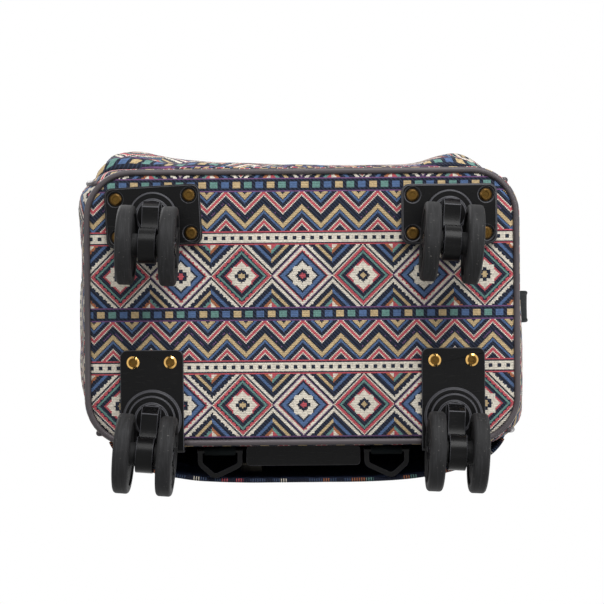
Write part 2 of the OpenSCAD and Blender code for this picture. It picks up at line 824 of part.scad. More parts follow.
module rivet_leg_holes(r) {
    for (s = [-1, 1]) for (x = [-1, 1])
        translate([s * rear_x + x * bracket_rivet_x / 2, back_y - wall_t - board_t - 2, leg_rivet_z])
            rotate([-90, 0, 0]) cylinder(wall_t + board_t + bracket_t + 6, r, r);
}

module front_plate(s) {
    lip = 1;
    color(black) difference() {
        translate([s * front_x, -front_y, 0]) rotate([0, 0, plate_angle(s)]) {
            translate([0, 0, plate_z + lip]) linear_extrude(plate_t - lip) rounded(plate_w, plate_d, 6);
            translate([0, 0, plate_z]) linear_extrude(lip) rounded(plate_w - 2 * lip, plate_d - 2 * lip, 5);
        }
        rivet_base_holes(shank_d / 2 + close_fit);
        for (p = plate_rivets(s)) translate([p[0], p[1], plate_z - 1])
            cylinder(counterbore + 1, rivet_d / 2 + 1.2, rivet_d / 2 + 1.2);
        translate([s * front_x, -front_y, plate_z - 1]) cylinder(plate_t + 2, pin_d / 2 + close_fit, pin_d / 2 + close_fit);
    }
}

module front_plate_left() {
    front_plate(-1);
}

module front_plate_right() {
    front_plate(1);
}

module rear_bracket(s) {
    front = bracket_reach;
    rear = leg_y + bracket_t - rear_y;
    leg_z = base_z - bracket_t;
    bend = bracket_t;
    color(black) difference() {
        translate([s * rear_x, rear_y, 0]) {
            translate([0, 0, leg_z]) linear_extrude(bracket_t) {
                translate([-bracket_w / 2, -front + 5]) square([bracket_w, front - 5 + rear - bend]);
                translate([-bracket_w / 2 + 5, -front]) square([bracket_w - 10, 6]);
                for (x = [-1, 1]) translate([x * (bracket_w / 2 - 5), -front + 5]) circle(5);
            }
            translate([0, rear - bend, base_z]) rotate([0, 90, 0])
                cylinder(bracket_w, bend, bend, center = true);
            translate([0, rear - bracket_t, base_z]) rotate([90, 0, 180]) linear_extrude(bracket_t) {
                translate([-bracket_w / 2, 0]) square([bracket_w, bracket_leg - 5]);
                translate([-bracket_w / 2 + 5, 0]) square([bracket_w - 10, bracket_leg]);
                for (x = [-1, 1]) translate([x * (bracket_w / 2 - 5), bracket_leg - 5]) circle(5);
            }
            translate([0, 0, plate_z + chamfer])
                cylinder(base_z - plate_z - bracket_t - chamfer, collar_d / 2, collar_d / 2);
            translate([0, 0, plate_z]) cylinder(chamfer, collar_d / 2 - chamfer, collar_d / 2);
        }
        translate([s * rear_x, rear_y, plate_z - 1]) cylinder(plate_t + 2, pin_d / 2 + close_fit, pin_d / 2 + close_fit);
        rivet_base_holes(shank_d / 2 + close_fit);
        rivet_leg_holes(shank_d / 2 + close_fit);
    }
}

module rear_bracket_left() {
    rear_bracket(-1);
}

module rear_bracket_right() {
    rear_bracket(1);
}

// Rivet with its head below z = 0 and a burr on the far side of the grip length.
module rivet(grip) {
    head = rivet_d / 2;
    shank = shank_d / 2;
    rotate_extrude() polygon([[0, -head_t + 0.5], [shank * 0.8, -head_t + 0.5], [shank * 0.9, -head_t],
        [head * 0.72, -head_t], [head, -head_t * 0.4], [head, 0], [shank, 0], [shank, grip],
        [head * 0.9, grip], [head * 0.9, grip + 0.6], [shank * 0.9, grip + 1], [0, grip + 1]]);
}

module front_rivets() {
    color(brass) for (s = [-1, 1]) for (p = plate_rivets(s)) translate([p[0], p[1], plate_z + counterbore])
        rivet(board_z + board_t - plate_z - counterbore);
}

module rear_rivets() {
    leg_z = base_z - bracket_t;
    color(brass) for (s = [-1, 1]) {
        for (p = bracket_rivets(s)) translate([p[0], p[1], leg_z]) rivet(board_z + board_t - leg_z);
        for (x = [-1, 1])
            translate([s * rear_x + x * bracket_rivet_x / 2, leg_y + bracket_t, leg_rivet_z]) rotate([90, 0, 0])
                rivet(leg_y + bracket_t - back_y + wall_t + board_t);
    }
}

// Casters

// Swivel position and resting angle of caster k: front left, front right, rear left, rear right.
spots = [[-front_x, -front_y, yaw_fl], [front_x, -front_y, yaw_fr], [-rear_x, rear_y, yaw_rl], [rear_x, rear_y, yaw_rr]];
axle_z = wheel_d / 2;
pin_depth = 16;

module at_caster(k) {
    translate([spots[k][0], spots[k][1], 0]) rotate([0, 0, spots[k][2]]) children();
}

module king_pins() {
    color(steel) for (k = [0:3]) at_caster(k) translate([0, 0, disc_z - pin_depth])
        cylinder(base_z - disc_z + pin_depth - close_fit, pin_d / 2, pin_d / 2);
}

// Fork in the YZ plane: a post under the disc with a sloped nose, a web and the barrel round the axle.
module fork_side() {
    r = barrel_d / 2;
    post = 9.5;
    nose = 4;
    low = disc_z - pin_depth - 3;
    hold = r - 1.5;
    translate([trail, axle_z]) circle(r);
    polygon([[-post, disc_z], [post + 3, disc_z], [trail + hold * cos(50), axle_z + hold * sin(50)],
        [trail, axle_z], [trail - hold * cos(35), axle_z + hold * sin(35)], [post * 0.55, low],
        [-post + nose, low], [-post, low + 1.7 * nose]]);
}

module fork() {
    color(black) difference() {
        union() {
            across(fork_w) fork_side();
            translate([0, 0, disc_z + chamfer]) cylinder(disc_t - chamfer, disc_d / 2, disc_d / 2);
            translate([0, 0, disc_z]) cylinder(chamfer, disc_d / 2 - chamfer, disc_d / 2);
            translate([0, 0, disc_z - ring_step]) cylinder(ring_step, disc_d * 0.35 - chamfer, disc_d * 0.35);
        }
        translate([0, 0, disc_z - pin_depth - 1]) cylinder(pin_depth + disc_t + 2, pin_d / 2 + run_fit, pin_d / 2 + run_fit);
        translate([0, trail, axle_z]) rotate([0, 90, 0])
            cylinder(fork_w + 2, axle_d / 2 + run_fit, axle_d / 2 + run_fit, center = true);
    }
}

dish = 2.4;
cap_t = 1.6;
hub_r = axle_d / 2 + 5;

// Axle with a cap in the dish of each wheel.
module axle() {
    tip = wheel_gap / 2 + wheel_w;
    cap_r = axle_d / 2 + 1.8;
    color(steel) translate([0, trail, axle_z]) rotate([0, 90, 0]) {
        cylinder(2 * (tip - dish + 0.5), axle_d / 2, axle_d / 2, center = true);
        for (s = [-1, 1]) translate([0, 0, s * (tip - dish + 0.2 + cap_t / 2)])
            cylinder(cap_t, cap_r, cap_r, center = true);
    }
}

// Wheel centred on the z axis: rounded tread, dished faces with ribs on the outer one,
// and a hub on the inner one that reaches almost to the fork.
module wheel_body() {
    r = wheel_d / 2;
    e = 2.5;
    h = wheel_w / 2;
    rim = 5.5;
    bore = axle_d / 2 + run_fit;
    hub = (wheel_gap - fork_w) / 2 - run_air;
    rotate_extrude() {
        difference() {
            union() {
                translate([bore, -h]) square([r - e - bore, wheel_w]);
                translate([r - e - 1, -h + e]) square([e + 1, wheel_w - 2 * e]);
                for (s = [-1, 1]) translate([r - e, s * (h - e)]) circle(e);
            }
            translate([0, h - dish]) square([r - rim, dish + 1]);
            translate([0, -h - 1]) square([r - rim, 1 + dish / 2]);
        }
        translate([bore, -h - hub]) square([hub_r - bore, hub + dish]);
    }
    for (k = [0:4]) rotate([0, 0, 72 * k]) translate([axle_d / 2 + 4, -1.6, h - dish - 0.5])
        cube([r - rim - axle_d / 2 - 3.5, 3.2, dish - 0.1]);
}

module wheel(side) {
    color(black) translate([side * (wheel_gap + wheel_w) / 2, trail, axle_z]) rotate([0, side * 90, 0]) wheel_body();
}

base_panel();
base_board();
base_piping();
front_panel();
gusset();
back_panel();
front_piping();
back_piping();
back_board();
front_pocket();
main_zip();
main_slider_left();
main_slider_right();
main_pull_left();
main_pull_right();
pocket_zip();
pocket_slider();
pocket_pull();
strap_sleeve();
sleeve_top();
shoulder_strap_left();
shoulder_strap_right();
strap_tail();
ring_loops();
strap_ring_left();
strap_ring_right();
haul_handle();
side_handle();
trolley_foot();
trolley_bracket();
outer_tubes();
middle_tubes();
inner_tubes();
trolley_grip();
trolley_button();
lock_rods();
front_plate_left();
front_plate_right();
rear_bracket_left();
rear_bracket_right();
front_rivets();
rear_rivets();
king_pins();
at_caster(0) fork();  // fork_front_left
at_caster(1) fork();  // fork_front_right
at_caster(2) fork();  // fork_rear_left
at_caster(3) fork();  // fork_rear_right
at_caster(0) axle();  // axle_front_left
at_caster(1) axle();  // axle_front_right
at_caster(2) axle();  // axle_rear_left
at_caster(3) axle();  // axle_rear_right
at_caster(0) wheel(-1);  // wheel_front_left_l
at_caster(0) wheel(1);  // wheel_front_left_r
at_caster(1) wheel(-1);  // wheel_front_right_l
at_caster(1) wheel(1);  // wheel_front_right_r
at_caster(2) wheel(-1);  // wheel_rear_left_l
at_caster(2) wheel(1);  // wheel_rear_left_r
at_caster(3) wheel(-1);  // wheel_rear_right_l
at_caster(3) wheel(1);  // wheel_rear_right_r
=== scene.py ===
"""Soft rolling backpack on four twin-wheel casters: cloth, trim, hardware, light and camera.

Sizes in the classes are millimetres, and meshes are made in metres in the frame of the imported
solids: +Z up, the front towards -Y, the floor at z = 0.
"""

import json
import logging
import math
from contextlib import contextmanager
from dataclasses import dataclass, field
from enum import Enum
from typing import Any, Callable, Iterable, Iterator, Sequence

import bmesh
import bpy
import numpy as np
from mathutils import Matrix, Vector, noise

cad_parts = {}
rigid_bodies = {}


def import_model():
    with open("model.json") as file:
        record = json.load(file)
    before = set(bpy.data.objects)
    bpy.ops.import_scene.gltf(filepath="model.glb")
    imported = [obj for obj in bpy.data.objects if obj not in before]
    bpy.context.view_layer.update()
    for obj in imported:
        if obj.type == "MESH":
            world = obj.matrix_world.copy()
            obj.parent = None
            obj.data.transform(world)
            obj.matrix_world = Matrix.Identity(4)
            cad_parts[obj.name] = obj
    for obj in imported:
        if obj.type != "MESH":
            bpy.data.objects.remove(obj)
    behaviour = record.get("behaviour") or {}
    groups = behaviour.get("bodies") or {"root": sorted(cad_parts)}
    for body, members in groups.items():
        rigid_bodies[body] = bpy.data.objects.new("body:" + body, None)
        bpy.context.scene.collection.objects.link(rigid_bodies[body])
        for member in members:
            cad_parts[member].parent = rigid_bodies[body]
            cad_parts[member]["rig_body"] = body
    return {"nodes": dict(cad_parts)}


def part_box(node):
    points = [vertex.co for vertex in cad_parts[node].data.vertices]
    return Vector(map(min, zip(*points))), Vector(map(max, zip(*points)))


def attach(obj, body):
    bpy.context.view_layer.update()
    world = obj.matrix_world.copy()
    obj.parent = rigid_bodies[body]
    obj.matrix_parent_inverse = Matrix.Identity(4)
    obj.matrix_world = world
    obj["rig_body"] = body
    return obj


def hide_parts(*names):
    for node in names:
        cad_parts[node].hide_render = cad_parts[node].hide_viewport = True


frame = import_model()

LOG = logging.getLogger("rolling_backpack")
MM = 0.001
UV_NAME = "weave"
SIDES = ("left", "right")
Colour = tuple[float, float, float]
Triple = tuple[float, float, float]


def linear(code: str) -> Colour:
    """Turns a hexadecimal colour code into linear red, green and blue."""
    parts = [int(code[k:k + 2], 16) / 255 for k in (0, 2, 4)]
    return tuple(c / 12.92 if c <= 0.04045 else ((c + 0.055) / 1.055) ** 2.4 for c in parts)


class Yarn(Enum):
    """Yarn colours of the woven cloth."""

    NAVY = linear("121727")
    # SLATE is a fleck yarn of the binding, and also the painted highlight on the jacquard's twill crests.
    SLATE = linear("43516b")
    CREAM = linear("ded6c7")
    CORAL = linear("b9525b")
    GREEN = linear("678f88")
    TAN = linear("c3ab82")
    BLUE = linear("516a92")
    PURPLE = linear("6b4a73")
    RUST = linear("a96a49")


def math_node(operation: str, swapped: bool = False) -> Callable[..., "Wire"]:
    """Makes a method of Wire that adds one Math node.

    Args:
        operation: The node's operation.
        swapped: Puts the other value first.

    Returns:
        The method.
    """
    def method(wire: "Wire", *others: "Wire | float") -> "Wire":
        """Adds the node."""
        values = (*others, wire) if swapped else (wire, *others)
        return wire.bench.node("ShaderNodeMath", {"operation": operation}, dict(enumerate(values)))
    return method


class Wire:
    """An output socket of a material, with arithmetic that adds Math nodes."""

    __add__, __radd__ = math_node("ADD"), math_node("ADD", True)
    __sub__, __rsub__ = math_node("SUBTRACT"), math_node("SUBTRACT", True)
    __mul__, __rmul__ = math_node("MULTIPLY"), math_node("MULTIPLY", True)
    __truediv__, __mod__ = math_node("DIVIDE"), math_node("FLOORED_MODULO")
    __lt__, __gt__ = math_node("LESS_THAN"), math_node("GREATER_THAN")
    __abs__ = math_node("ABSOLUTE")
    floor, sine = math_node("FLOOR"), math_node("SINE")
    low, high = math_node("MINIMUM"), math_node("MAXIMUM")
    fold = math_node("PINGPONG")

    def __init__(self, bench: "Bench", socket: bpy.types.NodeSocket) -> None:
        """Keeps the socket and the bench that it belongs to."""
        self.bench = bench
        self.socket = socket

    def between(self, low: float, high: float) -> "Wire":
        """One from low up to, and not including, high, for whole numbers."""
        return (self > low - 0.5) * (self < high - 0.5)


class Nodes:
    """An emptied node tree and the steps that fill it."""

    def __init__(self, tree: bpy.types.NodeTree) -> None:
        """Empties the tree."""
        self.tree = tree
        tree.nodes.clear()

    def add(self, kind: str, settings: dict[str, Any] | None = None,
            inputs: dict[int | str, Any] | None = None) -> bpy.types.Node:
        """Adds a node.

        Args:
            kind: The node's type.
            settings: Attributes that are set first.
            inputs: Values, sockets or wires for its inputs, by name or index.

        Returns:
            The node.
        """
        made = self.tree.nodes.new(kind)
        for key, value in (settings or {}).items():
            setattr(made, key, value)
        for key, value in (inputs or {}).items():
            self.plug(made.inputs[key], value)
        return made

    def plug(self, socket: bpy.types.NodeSocket, value: Any) -> None:
        """Links a socket or a wire to an input, or sets the input's own value.

        Args:
            socket: The input.
            value: A socket, a wire, a number, a colour or a setting.
        """
        source = value.socket if isinstance(value, Wire) else value
        if isinstance(source, bpy.types.NodeSocket):
            self.tree.links.new(source, socket)
        elif socket.type == "RGBA" and len(source) == 3:
            socket.default_value = (*source, 1.0)
        else:
            socket.default_value = source


class Bench(Nodes):
    """A new material with its shader, on which a finish is laid."""

    def __init__(self, name: str) -> None:
        """Makes an empty material with a Principled shader.

        Args:
            name: The material's name.
        """
        self.material = bpy.data.materials.new(name)
        self.material.use_nodes = True
        super().__init__(self.material.node_tree)
        self.output = self.add("ShaderNodeOutputMaterial")
        self.shader = self.add("ShaderNodeBsdfPrincipled")
        self.plug(self.output.inputs[0], self.shader.outputs[0])

    def node(self, kind: str, settings: dict[str, Any] | None = None,
             inputs: dict[int | str, Any] | None = None, out: int | str = 0) -> Wire:
        """Adds a node and returns the chosen output."""
        return Wire(self, self.add(kind, settings, inputs).outputs[out])

    def split(self, vector: Wire) -> list[Wire]:
        """Takes a vector apart into x, y and z."""
        parts = self.add("ShaderNodeSeparateXYZ", {}, {0: vector})
        return [Wire(self, socket) for socket in parts.outputs]

    def place(self) -> Wire:
        """Object coordinates."""
        return self.node("ShaderNodeTexCoord", out="Object")

    def cloth_place(self) -> Wire:
        """The piece's own cloth coordinates, in metres."""
        return self.node("ShaderNodeUVMap", {"uv_map": UV_NAME})

    def mix(self, share: Wire, first: Any, second: Any) -> Wire:
        """Blends two colours by the share of the second one."""
        return self.node("ShaderNodeMix", {"data_type": "RGBA"}, {0: share, 6: first, 7: second}, 2)

    def worn(self, wear: Wire, tone: Colour, low: float, high: float) -> Wire:
        """Blends between a darker and a lighter shade of one colour."""
        return self.mix(wear, tuple(low * c for c in tone), tuple(high * c for c in tone))

    def scale(self, colour: Wire, by: Wire) -> Wire:
        """Multiplies a colour by a number."""
        return self.node("ShaderNodeVectorMath", {"operation": "SCALE"}, {0: colour, "Scale": by})

    def cloud(self, place: Wire, scale: float, detail: float = 3.0) -> Wire:
        """Soft noise from 0 to 1, with its scale in waves to a metre and its detail in octaves."""
        return self.node("ShaderNodeTexNoise", {}, {"Vector": place, "Scale": scale, "Detail": detail})

    def white(self, dimensions: str, socket: str, value: Wire) -> Wire:
        """A chance number from 0 to 1 for each place."""
        return self.node("ShaderNodeTexWhiteNoise", {"noise_dimensions": dimensions}, {socket: value})

    def stretch(self, place: Wire, by: Triple) -> Wire:
        """Scales coordinates along each axis."""
        return self.node("ShaderNodeMapping", {}, {"Vector": place, "Scale": by})

    def wave(self, value: Wire, length: float) -> Wire:
        """Sine wave along a coordinate, with its length in millimetres."""
        return (value * (2 * math.pi / (length * MM))).sine()

    def stripes(self, value: Wire, picks: Sequence[float], whole: float, yarns: str) -> Wire:
        """Maps a number from 0 to 1 to yarns that change without blending.

        Args:
            value: The number.
            picks: Where each yarn begins.
            whole: The pick that stands for 1.
            yarns: Names of the yarns.

        Returns:
            The colour.
        """
        made = self.add("ShaderNodeValToRGB", {}, {0: value})
        ramp = made.color_ramp
        ramp.interpolation = "CONSTANT"
        while len(ramp.elements) < len(picks):
            ramp.elements.new(1.0)
        for element, pick, yarn in zip(ramp.elements, picks, yarns.upper().split()):
            element.position = pick / whole
            element.color = (*Yarn[yarn].value, 1.0)
        return Wire(self, made.outputs[0])

    def bump(self, height: Wire, depth: float, strength: float) -> None:
        """Raises the surface by a height map whose full step is a depth in millimetres."""
        inputs = {"Height": height, "Distance": depth * MM, "Strength": strength}
        self.set("Normal", self.node("ShaderNodeBump", {}, inputs))

    def set(self, socket: str, value: Any) -> None:
        """Sets one socket of the shader."""
        self.plug(self.shader.inputs[socket], value)

    def coat(self, colour: Any, rough: Any, specular: float) -> None:
        """Sets the shader's main values.

        Args:
            colour: Colour or wire.
            rough: Roughness, or a wire.
            specular: Specular level.
        """
        self.set("Base Color", colour)
        self.set("Roughness", rough)
        self.set("Specular IOR Level", specular)


@dataclass(frozen=True)
class Finish:
    """A surface finish, made once as a material."""

    name: str

    def material(self) -> bpy.types.Material:
        """Returns the finish's material, which is made when it is first asked for."""
        made = bpy.data.materials.get(self.name + "_finish")
        if made is None:
            bench = Bench(self.name + "_finish")
            self.lay(bench)
            made = bench.material
        return made

    def lay(self, bench: Bench) -> None:
        """Builds the nodes of the finish."""
        raise NotImplementedError


@dataclass(frozen=True)
class Jacquard(Finish):
    """Woven cloth with rows of stepped diamonds, chevrons and square bands."""

    name: str = "jacquard"
    cell: float = 0.9
    turn: int = 102
    rows: tuple[int, ...] = (49, 60, 91)
    diamond: int = 24
    star: int = 14
    zigzag: int = 23
    peak: int = 15
    band: int = 5
    dots: int = 7
    blocks: int = 9
    twill: float = 2.9
    weft: float = 1.2

    def diamonds(self, bench: Bench, a: Wire, y: Wire) -> Wire:
        """Row of stepped diamonds with stars in them.

        Args:
            bench: The material.
            a: Yarn number across.
            y: Yarn number up the row.

        Returns:
            The row's colour.
        """
        half, whole = self.diamond, 2 * self.diamond
        dx, dy = a.fold(half), abs(y - half)
        step = dx + dy
        star = step.low(dx.high(dy) * 1.5)
        inner = step < self.star
        ring = (star * inner + step * (1 - inner)) / whole
        picks = (0, 3, 6, 11, 13, 17, 19, 21, 23, 24.5, 26, 30, 34, 37, 42, 44)
        ways = ("coral navy cream navy blue navy coral cream purple navy cream navy tan navy green coral",
                "tan navy cream coral navy green navy coral cream navy cream navy blue navy rust cream")
        first, second = (bench.stripes(ring, picks, whole, way) for way in ways)
        odd = ((a + half) / whole).floor() % 2
        return bench.mix(odd, first, second)

    def chevrons(self, bench: Bench, a: Wire, y: Wire) -> Wire:
        """Row of zigzag stripes.

        Args:
            bench: The material.
            a: Yarn number across.
            y: Yarn number up the row.

        Returns:
            The row's colour.
        """
        run = ((y + a.fold(self.peak)) % self.zigzag) / self.zigzag
        return bench.stripes(run, (0, 4, 5, 8, 9, 13, 15, 16, 20, 22), self.zigzag,
                             "navy cream coral cream navy blue navy tan navy purple")

    def dotted(self, bench: Bench, a: Wire, y: Wire) -> Wire:
        """Cream band with dark square dots and coral edges.

        Args:
            bench: The material.
            a: Yarn number across.
            y: Yarn number up the row.

        Returns:
            The row's colour.
        """
        off = abs(y - self.band)
        dot = ((a % self.dots) < 2.5) * (off < 1.5)
        band = bench.mix(dot, Yarn.CREAM.value, Yarn.NAVY.value)
        band = bench.mix(off > 3.5, band, Yarn.NAVY.value)
        return bench.mix(off > 4.5, band, Yarn.CORAL.value)

    def squares(self, bench: Bench, a: Wire, y: Wire) -> Wire:
        """Dark band with little squares in three colours.

        Args:
            bench: The material.
            a: Yarn number across.
            y: Yarn number up the row.

        Returns:
            The row's colour.
        """
        off = abs(y - self.band)
        inside = ((a % self.blocks) < 5.5) * (off < 2.5)
        which = ((a / self.blocks).floor() % 3) / 3
        tones = bench.stripes(which, (0, 0.3, 0.6), 1, "tan green blue")
        band = bench.mix(inside, Yarn.NAVY.value, tones)
        return bench.mix(off > 4.5, band, Yarn.PURPLE.value)

    def lay(self, bench: Bench) -> None:
        """Builds the nodes of the finish.

        Args:
            bench: The new material.
        """
        place = bench.cloth_place()
        u, v, _ = bench.split(place)
        a, b = ((w / (self.cell * MM)).floor() for w in (u, v))
        y = b % self.turn
        colour = self.diamonds(bench, a, y)
        ends = (*self.rows[1:], self.turn)
        for low, high, row in zip(self.rows, ends, (self.dotted, self.chevrons, self.squares)):
            colour = bench.mix(y.between(low, high), colour, row(bench, a, y - low))
        dark = bench.node("ShaderNodeRGBToBW", {}, {0: colour}) < 0.05
        twill, pick = bench.wave(u + v, self.twill), bench.wave(v, self.weft)
        rib = twill * dark + pick * (1 - dark) * 0.5
        speck = bench.white("2D", "Vector", bench.node("ShaderNodeCombineXYZ", {}, {0: a, 1: b}))
        wear = bench.cloud(place, 24)
        # Crests of the twill ribs on the dark ground are mixed towards slate: a painted highlight.
        painted_twill_highlight = (twill - 0.1).high(0.0) * dark * 0.38
        # On the pale yarns the colour is lighter on the weft ribs' crests and darker between them, a
        # painted shade of the weave; speck and wear add random tone.
        shade = 0.95 + rib * (1 - dark) * 0.2 + (speck - 0.5) * 0.34 + (wear - 0.5) * 0.2
        colour = bench.scale(bench.mix(painted_twill_highlight, colour, Yarn.SLATE.value), shade)
        bench.coat(colour, 0.78 + speck * 0.15, 0.25)
        bench.set("Sheen Weight", 0.12)
        bench.set("Sheen Roughness", 0.5)
        bench.bump(rib * 0.5 + speck * 0.35, 0.4, 0.7)


@dataclass(frozen=True)
class Binding(Finish):
    """Folded cloth edge: dark, with short flecks of the cloth's colours."""

    name: str = "binding"
    fleck: float = 5.2
    rib: float = 1.7

    def lay(self, bench: Bench) -> None:
        """Builds the nodes of the finish.

        Args:
            bench: The new material.
        """
        _, v, _ = bench.split(bench.cloth_place())
        fleck = bench.white("1D", "W", (v / (self.fleck * MM)).floor())
        tones = bench.stripes(fleck, (0, 0.3, 0.5, 0.6, 0.72, 0.8, 0.87, 0.93), 1,
                              "navy slate rust slate cream coral green navy")
        rib = bench.wave(v, self.rib)
        thread = bench.mix((rib + 0.2).high(0.0).low(1.0), Yarn.NAVY.value, tones)
        # The colour is scaled lighter on the ribs and darker between them: painted shade of the weave.
        bench.coat(bench.scale(thread, 0.9 + rib * 0.1), 0.8 + fleck * 0.1, 0.2)
        bench.bump(rib, 0.3, 0.7)


@dataclass(frozen=True)
class PlainWeave(Finish):
    """Plain woven cloth in one colour, for linings and zip tapes."""

    name: str = "lining"
    tone: Colour = linear("2b3654")
    pitch: float = 0.9

    def lay(self, bench: Bench) -> None:
        """Builds the nodes of the finish.

        Args:
            bench: The new material.
        """
        place = bench.cloth_place()
        u, v, _ = bench.split(place)
        weave = bench.wave(u, self.pitch) * bench.wave(v, self.pitch)
        wear = bench.cloud(place, 30)
        flat = bench.worn(wear, self.tone, 0.7, 1.35)
        # The colour is lighter on the weave's crests and darker in its hollows: painted shade of the
        # weave; wear adds random tone.
        bench.coat(bench.scale(flat, 1 + weave * 0.25), 0.7 + wear * 0.2, 0.3)
        bench.bump(weave, 0.12, 0.8)


@dataclass(frozen=True)
class Webbing(Finish):
    """Herringbone strap webbing."""

    name: str = "webbing"
    tone: Colour = linear("0d1213")
    rib: float = 3.2
    thread: float = 1.4

    def lay(self, bench: Bench) -> None:
        """Builds the nodes of the finish.

        Args:
            bench: The new material.
        """
        place = bench.cloth_place()
        u, v, _ = bench.split(place)
        slant = bench.wave(u.fold(self.rib * MM) + v, self.thread)
        groove = bench.wave(u, 2 * self.rib)
        wear = bench.cloud(place, 45)
        flat = bench.worn(wear, self.tone, 0.65, 1.4)
        # The colour is lighter on the slanted threads' crests and darker between them: painted shade of
        # the weave; wear adds random tone.
        bench.coat(bench.scale(flat, 1 + slant * 0.3), 0.62 + wear * 0.25, 0.1)
        bench.bump(slant * 0.6 + abs(groove) * 0.4, 0.3, 0.9)


@dataclass(frozen=True)
class Vinyl(Finish):
    """Smooth coated cover of the piping, with a faint grain."""

    name: str = "vinyl"
    tone: Colour = linear("504a4d")

    def lay(self, bench: Bench) -> None:
        """Builds the nodes of the finish.

        Args:
            bench: The new material.
        """
        place = bench.place()
        wear = bench.cloud(place, 60)
        grain = bench.node("ShaderNodeTexVoronoi", {"feature": "DISTANCE_TO_EDGE"},
                           {"Vector": place, "Scale": 1600.0})
        bench.coat(bench.worn(wear, self.tone, 0.8, 1.15), 0.3 + wear * 0.2, 0.3)
        bench.bump(grain.low(0.2) * 2 + wear * 0.5, 0.08, 0.6)


@dataclass(frozen=True)
class Moulded(Finish):
    """Moulded plastic with a fine spark grain, dull scuffs and a little dust."""

    name: str = "black_plastic"
    tone: Colour = linear("0b0b0c")
    rough: float = 0.22
    dust: float = 0.1

    def lay(self, bench: Bench) -> None:
        """Builds the nodes of the finish.

        Args:
            bench: The new material.
        """
        place = bench.place()
        grain = bench.cloud(place, 2600, 2)
        broad = bench.cloud(place, 38)
        scuff = (bench.cloud(bench.stretch(place, (1.0, 5.0, 2.0)), 130, 4) - 0.6).high(0.0) * 4
        base = bench.worn(broad, self.tone, 0.75, 1.3)
        dusty = bench.mix((scuff * self.dust).low(0.5), base, linear("5c5a58"))
        bench.coat(dusty, (self.rough + broad * 0.1 + scuff * 0.06).low(0.9), 0.125)
        bench.bump(grain, 0.06, 0.6)


@dataclass(frozen=True)
class Tread(Finish):
    """Matte black rubber with pale dust specks and rubbed streaks."""

    name: str = "tread_rubber"
    tone: Colour = linear("1d1d1e")
    rubbed: Colour = linear("3c3c3e")
    dust: Colour = linear("8a8782")

    def lay(self, bench: Bench) -> None:
        """Builds the nodes of the finish.

        Args:
            bench: The new material.
        """
        place = bench.place()
        broad = bench.cloud(place, 55, 4)
        fine = bench.cloud(place, 1500, 2)
        speck = ((bench.cloud(place, 620, 1) - 0.7).high(0.0) * 9).low(1.0)
        streak = bench.cloud(bench.stretch(place, (14.0, 1.0, 1.0)), 70, 3)
        rubbed = (broad - 0.5).high(0.0) * 1.4 + (streak - 0.48).high(0.0) * 1.8
        base = bench.mix(rubbed.low(1.0), self.tone, self.rubbed)
        bench.coat(bench.mix(speck * 0.5, base, self.dust), 0.55 + broad * 0.25, 0.2)
        bench.bump(fine + speck * 0.4, 0.1, 0.6)


@dataclass(frozen=True)
class Metal(Finish):
    """Plated or drawn metal with faint brushing and tarnish."""

    name: str = "steel"
    tone: Colour = linear("b9bbbe")
    tarnish: Colour = linear("6d6a66")
    rough: float = 0.25
    grain: Triple = (1.0, 1.0, 1.0)

    def lay(self, bench: Bench) -> None:
        """Builds the nodes of the finish.

        Args:
            bench: The new material.
        """
        place = bench.place()
        brush = bench.cloud(bench.stretch(place, self.grain), 900, 3)
        age = bench.cloud(place, 210, 4)
        spots = ((age - 0.52).high(0.0) * 3).low(0.7)
        bench.set("Metallic", 1.0)
        bench.set("Base Color", bench.mix(spots, self.tone, self.tarnish))
        bench.set("Roughness", self.rough + brush * 0.12 + spots * 0.2)
        bench.bump(brush, 0.03, 0.5)


@dataclass(frozen=True)
class Palette:
    """Every finish of the bag."""

    cloth: Finish = Jacquard()
    lining: Finish = PlainWeave()
    binding: Finish = Binding()
    tape: Finish = PlainWeave("zip_tape", linear("16181d"), 0.7)
    webbing: Finish = Webbing()
    tail: Finish = Webbing("strap_end_webbing", linear("5a564e"))
    pad: Finish = PlainWeave("strap_mesh", linear("34383e"), 1.6)
    vinyl: Finish = Vinyl()
    plastic: Finish = Moulded()
    # A lighter plastic for the bevels and chamfers of moulded parts: a painted highlight on their edges.
    edge: Finish = Moulded("rubbed_plastic", linear("4a4a4e"), 0.3, 0.1)
    board: Finish = Moulded("board", linear("2b2b2c"), 0.6, 0.2)
    button: Finish = Moulded("button_plastic", linear("3a3a3d"), 0.38, 0.05)
    coil: Finish = Moulded("zip_coil", linear("24262a"), 0.4, 0.05)
    thread: Finish = Moulded("thread", linear("33363c"), 0.7, 0.0)
    tread: Finish = Tread()
    brass: Finish = Metal("brass", linear("e2b56c"), linear("a97f3d"), 0.12)
    # Brass for the front rivets, darkened as painted shade of the counterbores round their heads.
    dull_brass: Finish = Metal("dull_brass", linear("735833"), linear("4a391b"), 0.3)
    # Darker brass for the flat middle of each rivet head: a painted reflection.
    dark_brass: Finish = Metal("dark_brass", linear("5a4420"), linear("342711"), 0.3)
    steel: Finish = Metal()
    axle: Finish = Metal("blackened_steel", linear("4c4c50"), linear("2b2a29"), 0.22)
    nickel: Finish = Metal("dark_nickel", linear("7b7c80"), linear("4a4846"), 0.22)
    alloy: Finish = Metal("drawn_alloy", linear("a9acb1"), linear("8d8f93"), 0.28, (1.0, 1.0, 0.02))


FINISH = Palette()


def extent(node: str) -> tuple[np.ndarray, np.ndarray]:
    """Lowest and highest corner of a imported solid, in millimetres."""
    low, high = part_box(node)
    return np.array(low) / MM, np.array(high) / MM


def smooth_step(t: np.ndarray) -> np.ndarray:
    """Eases from 0 to 1."""
    t = np.clip(t, 0.0, 1.0)
    return t * t * (3 - 2 * t)


def hump(t: np.ndarray, power: int = 2) -> np.ndarray:
    """A bump of height 1 at zero, which has flatter shoulders at a higher even power."""
    return np.exp(-(t ** power))


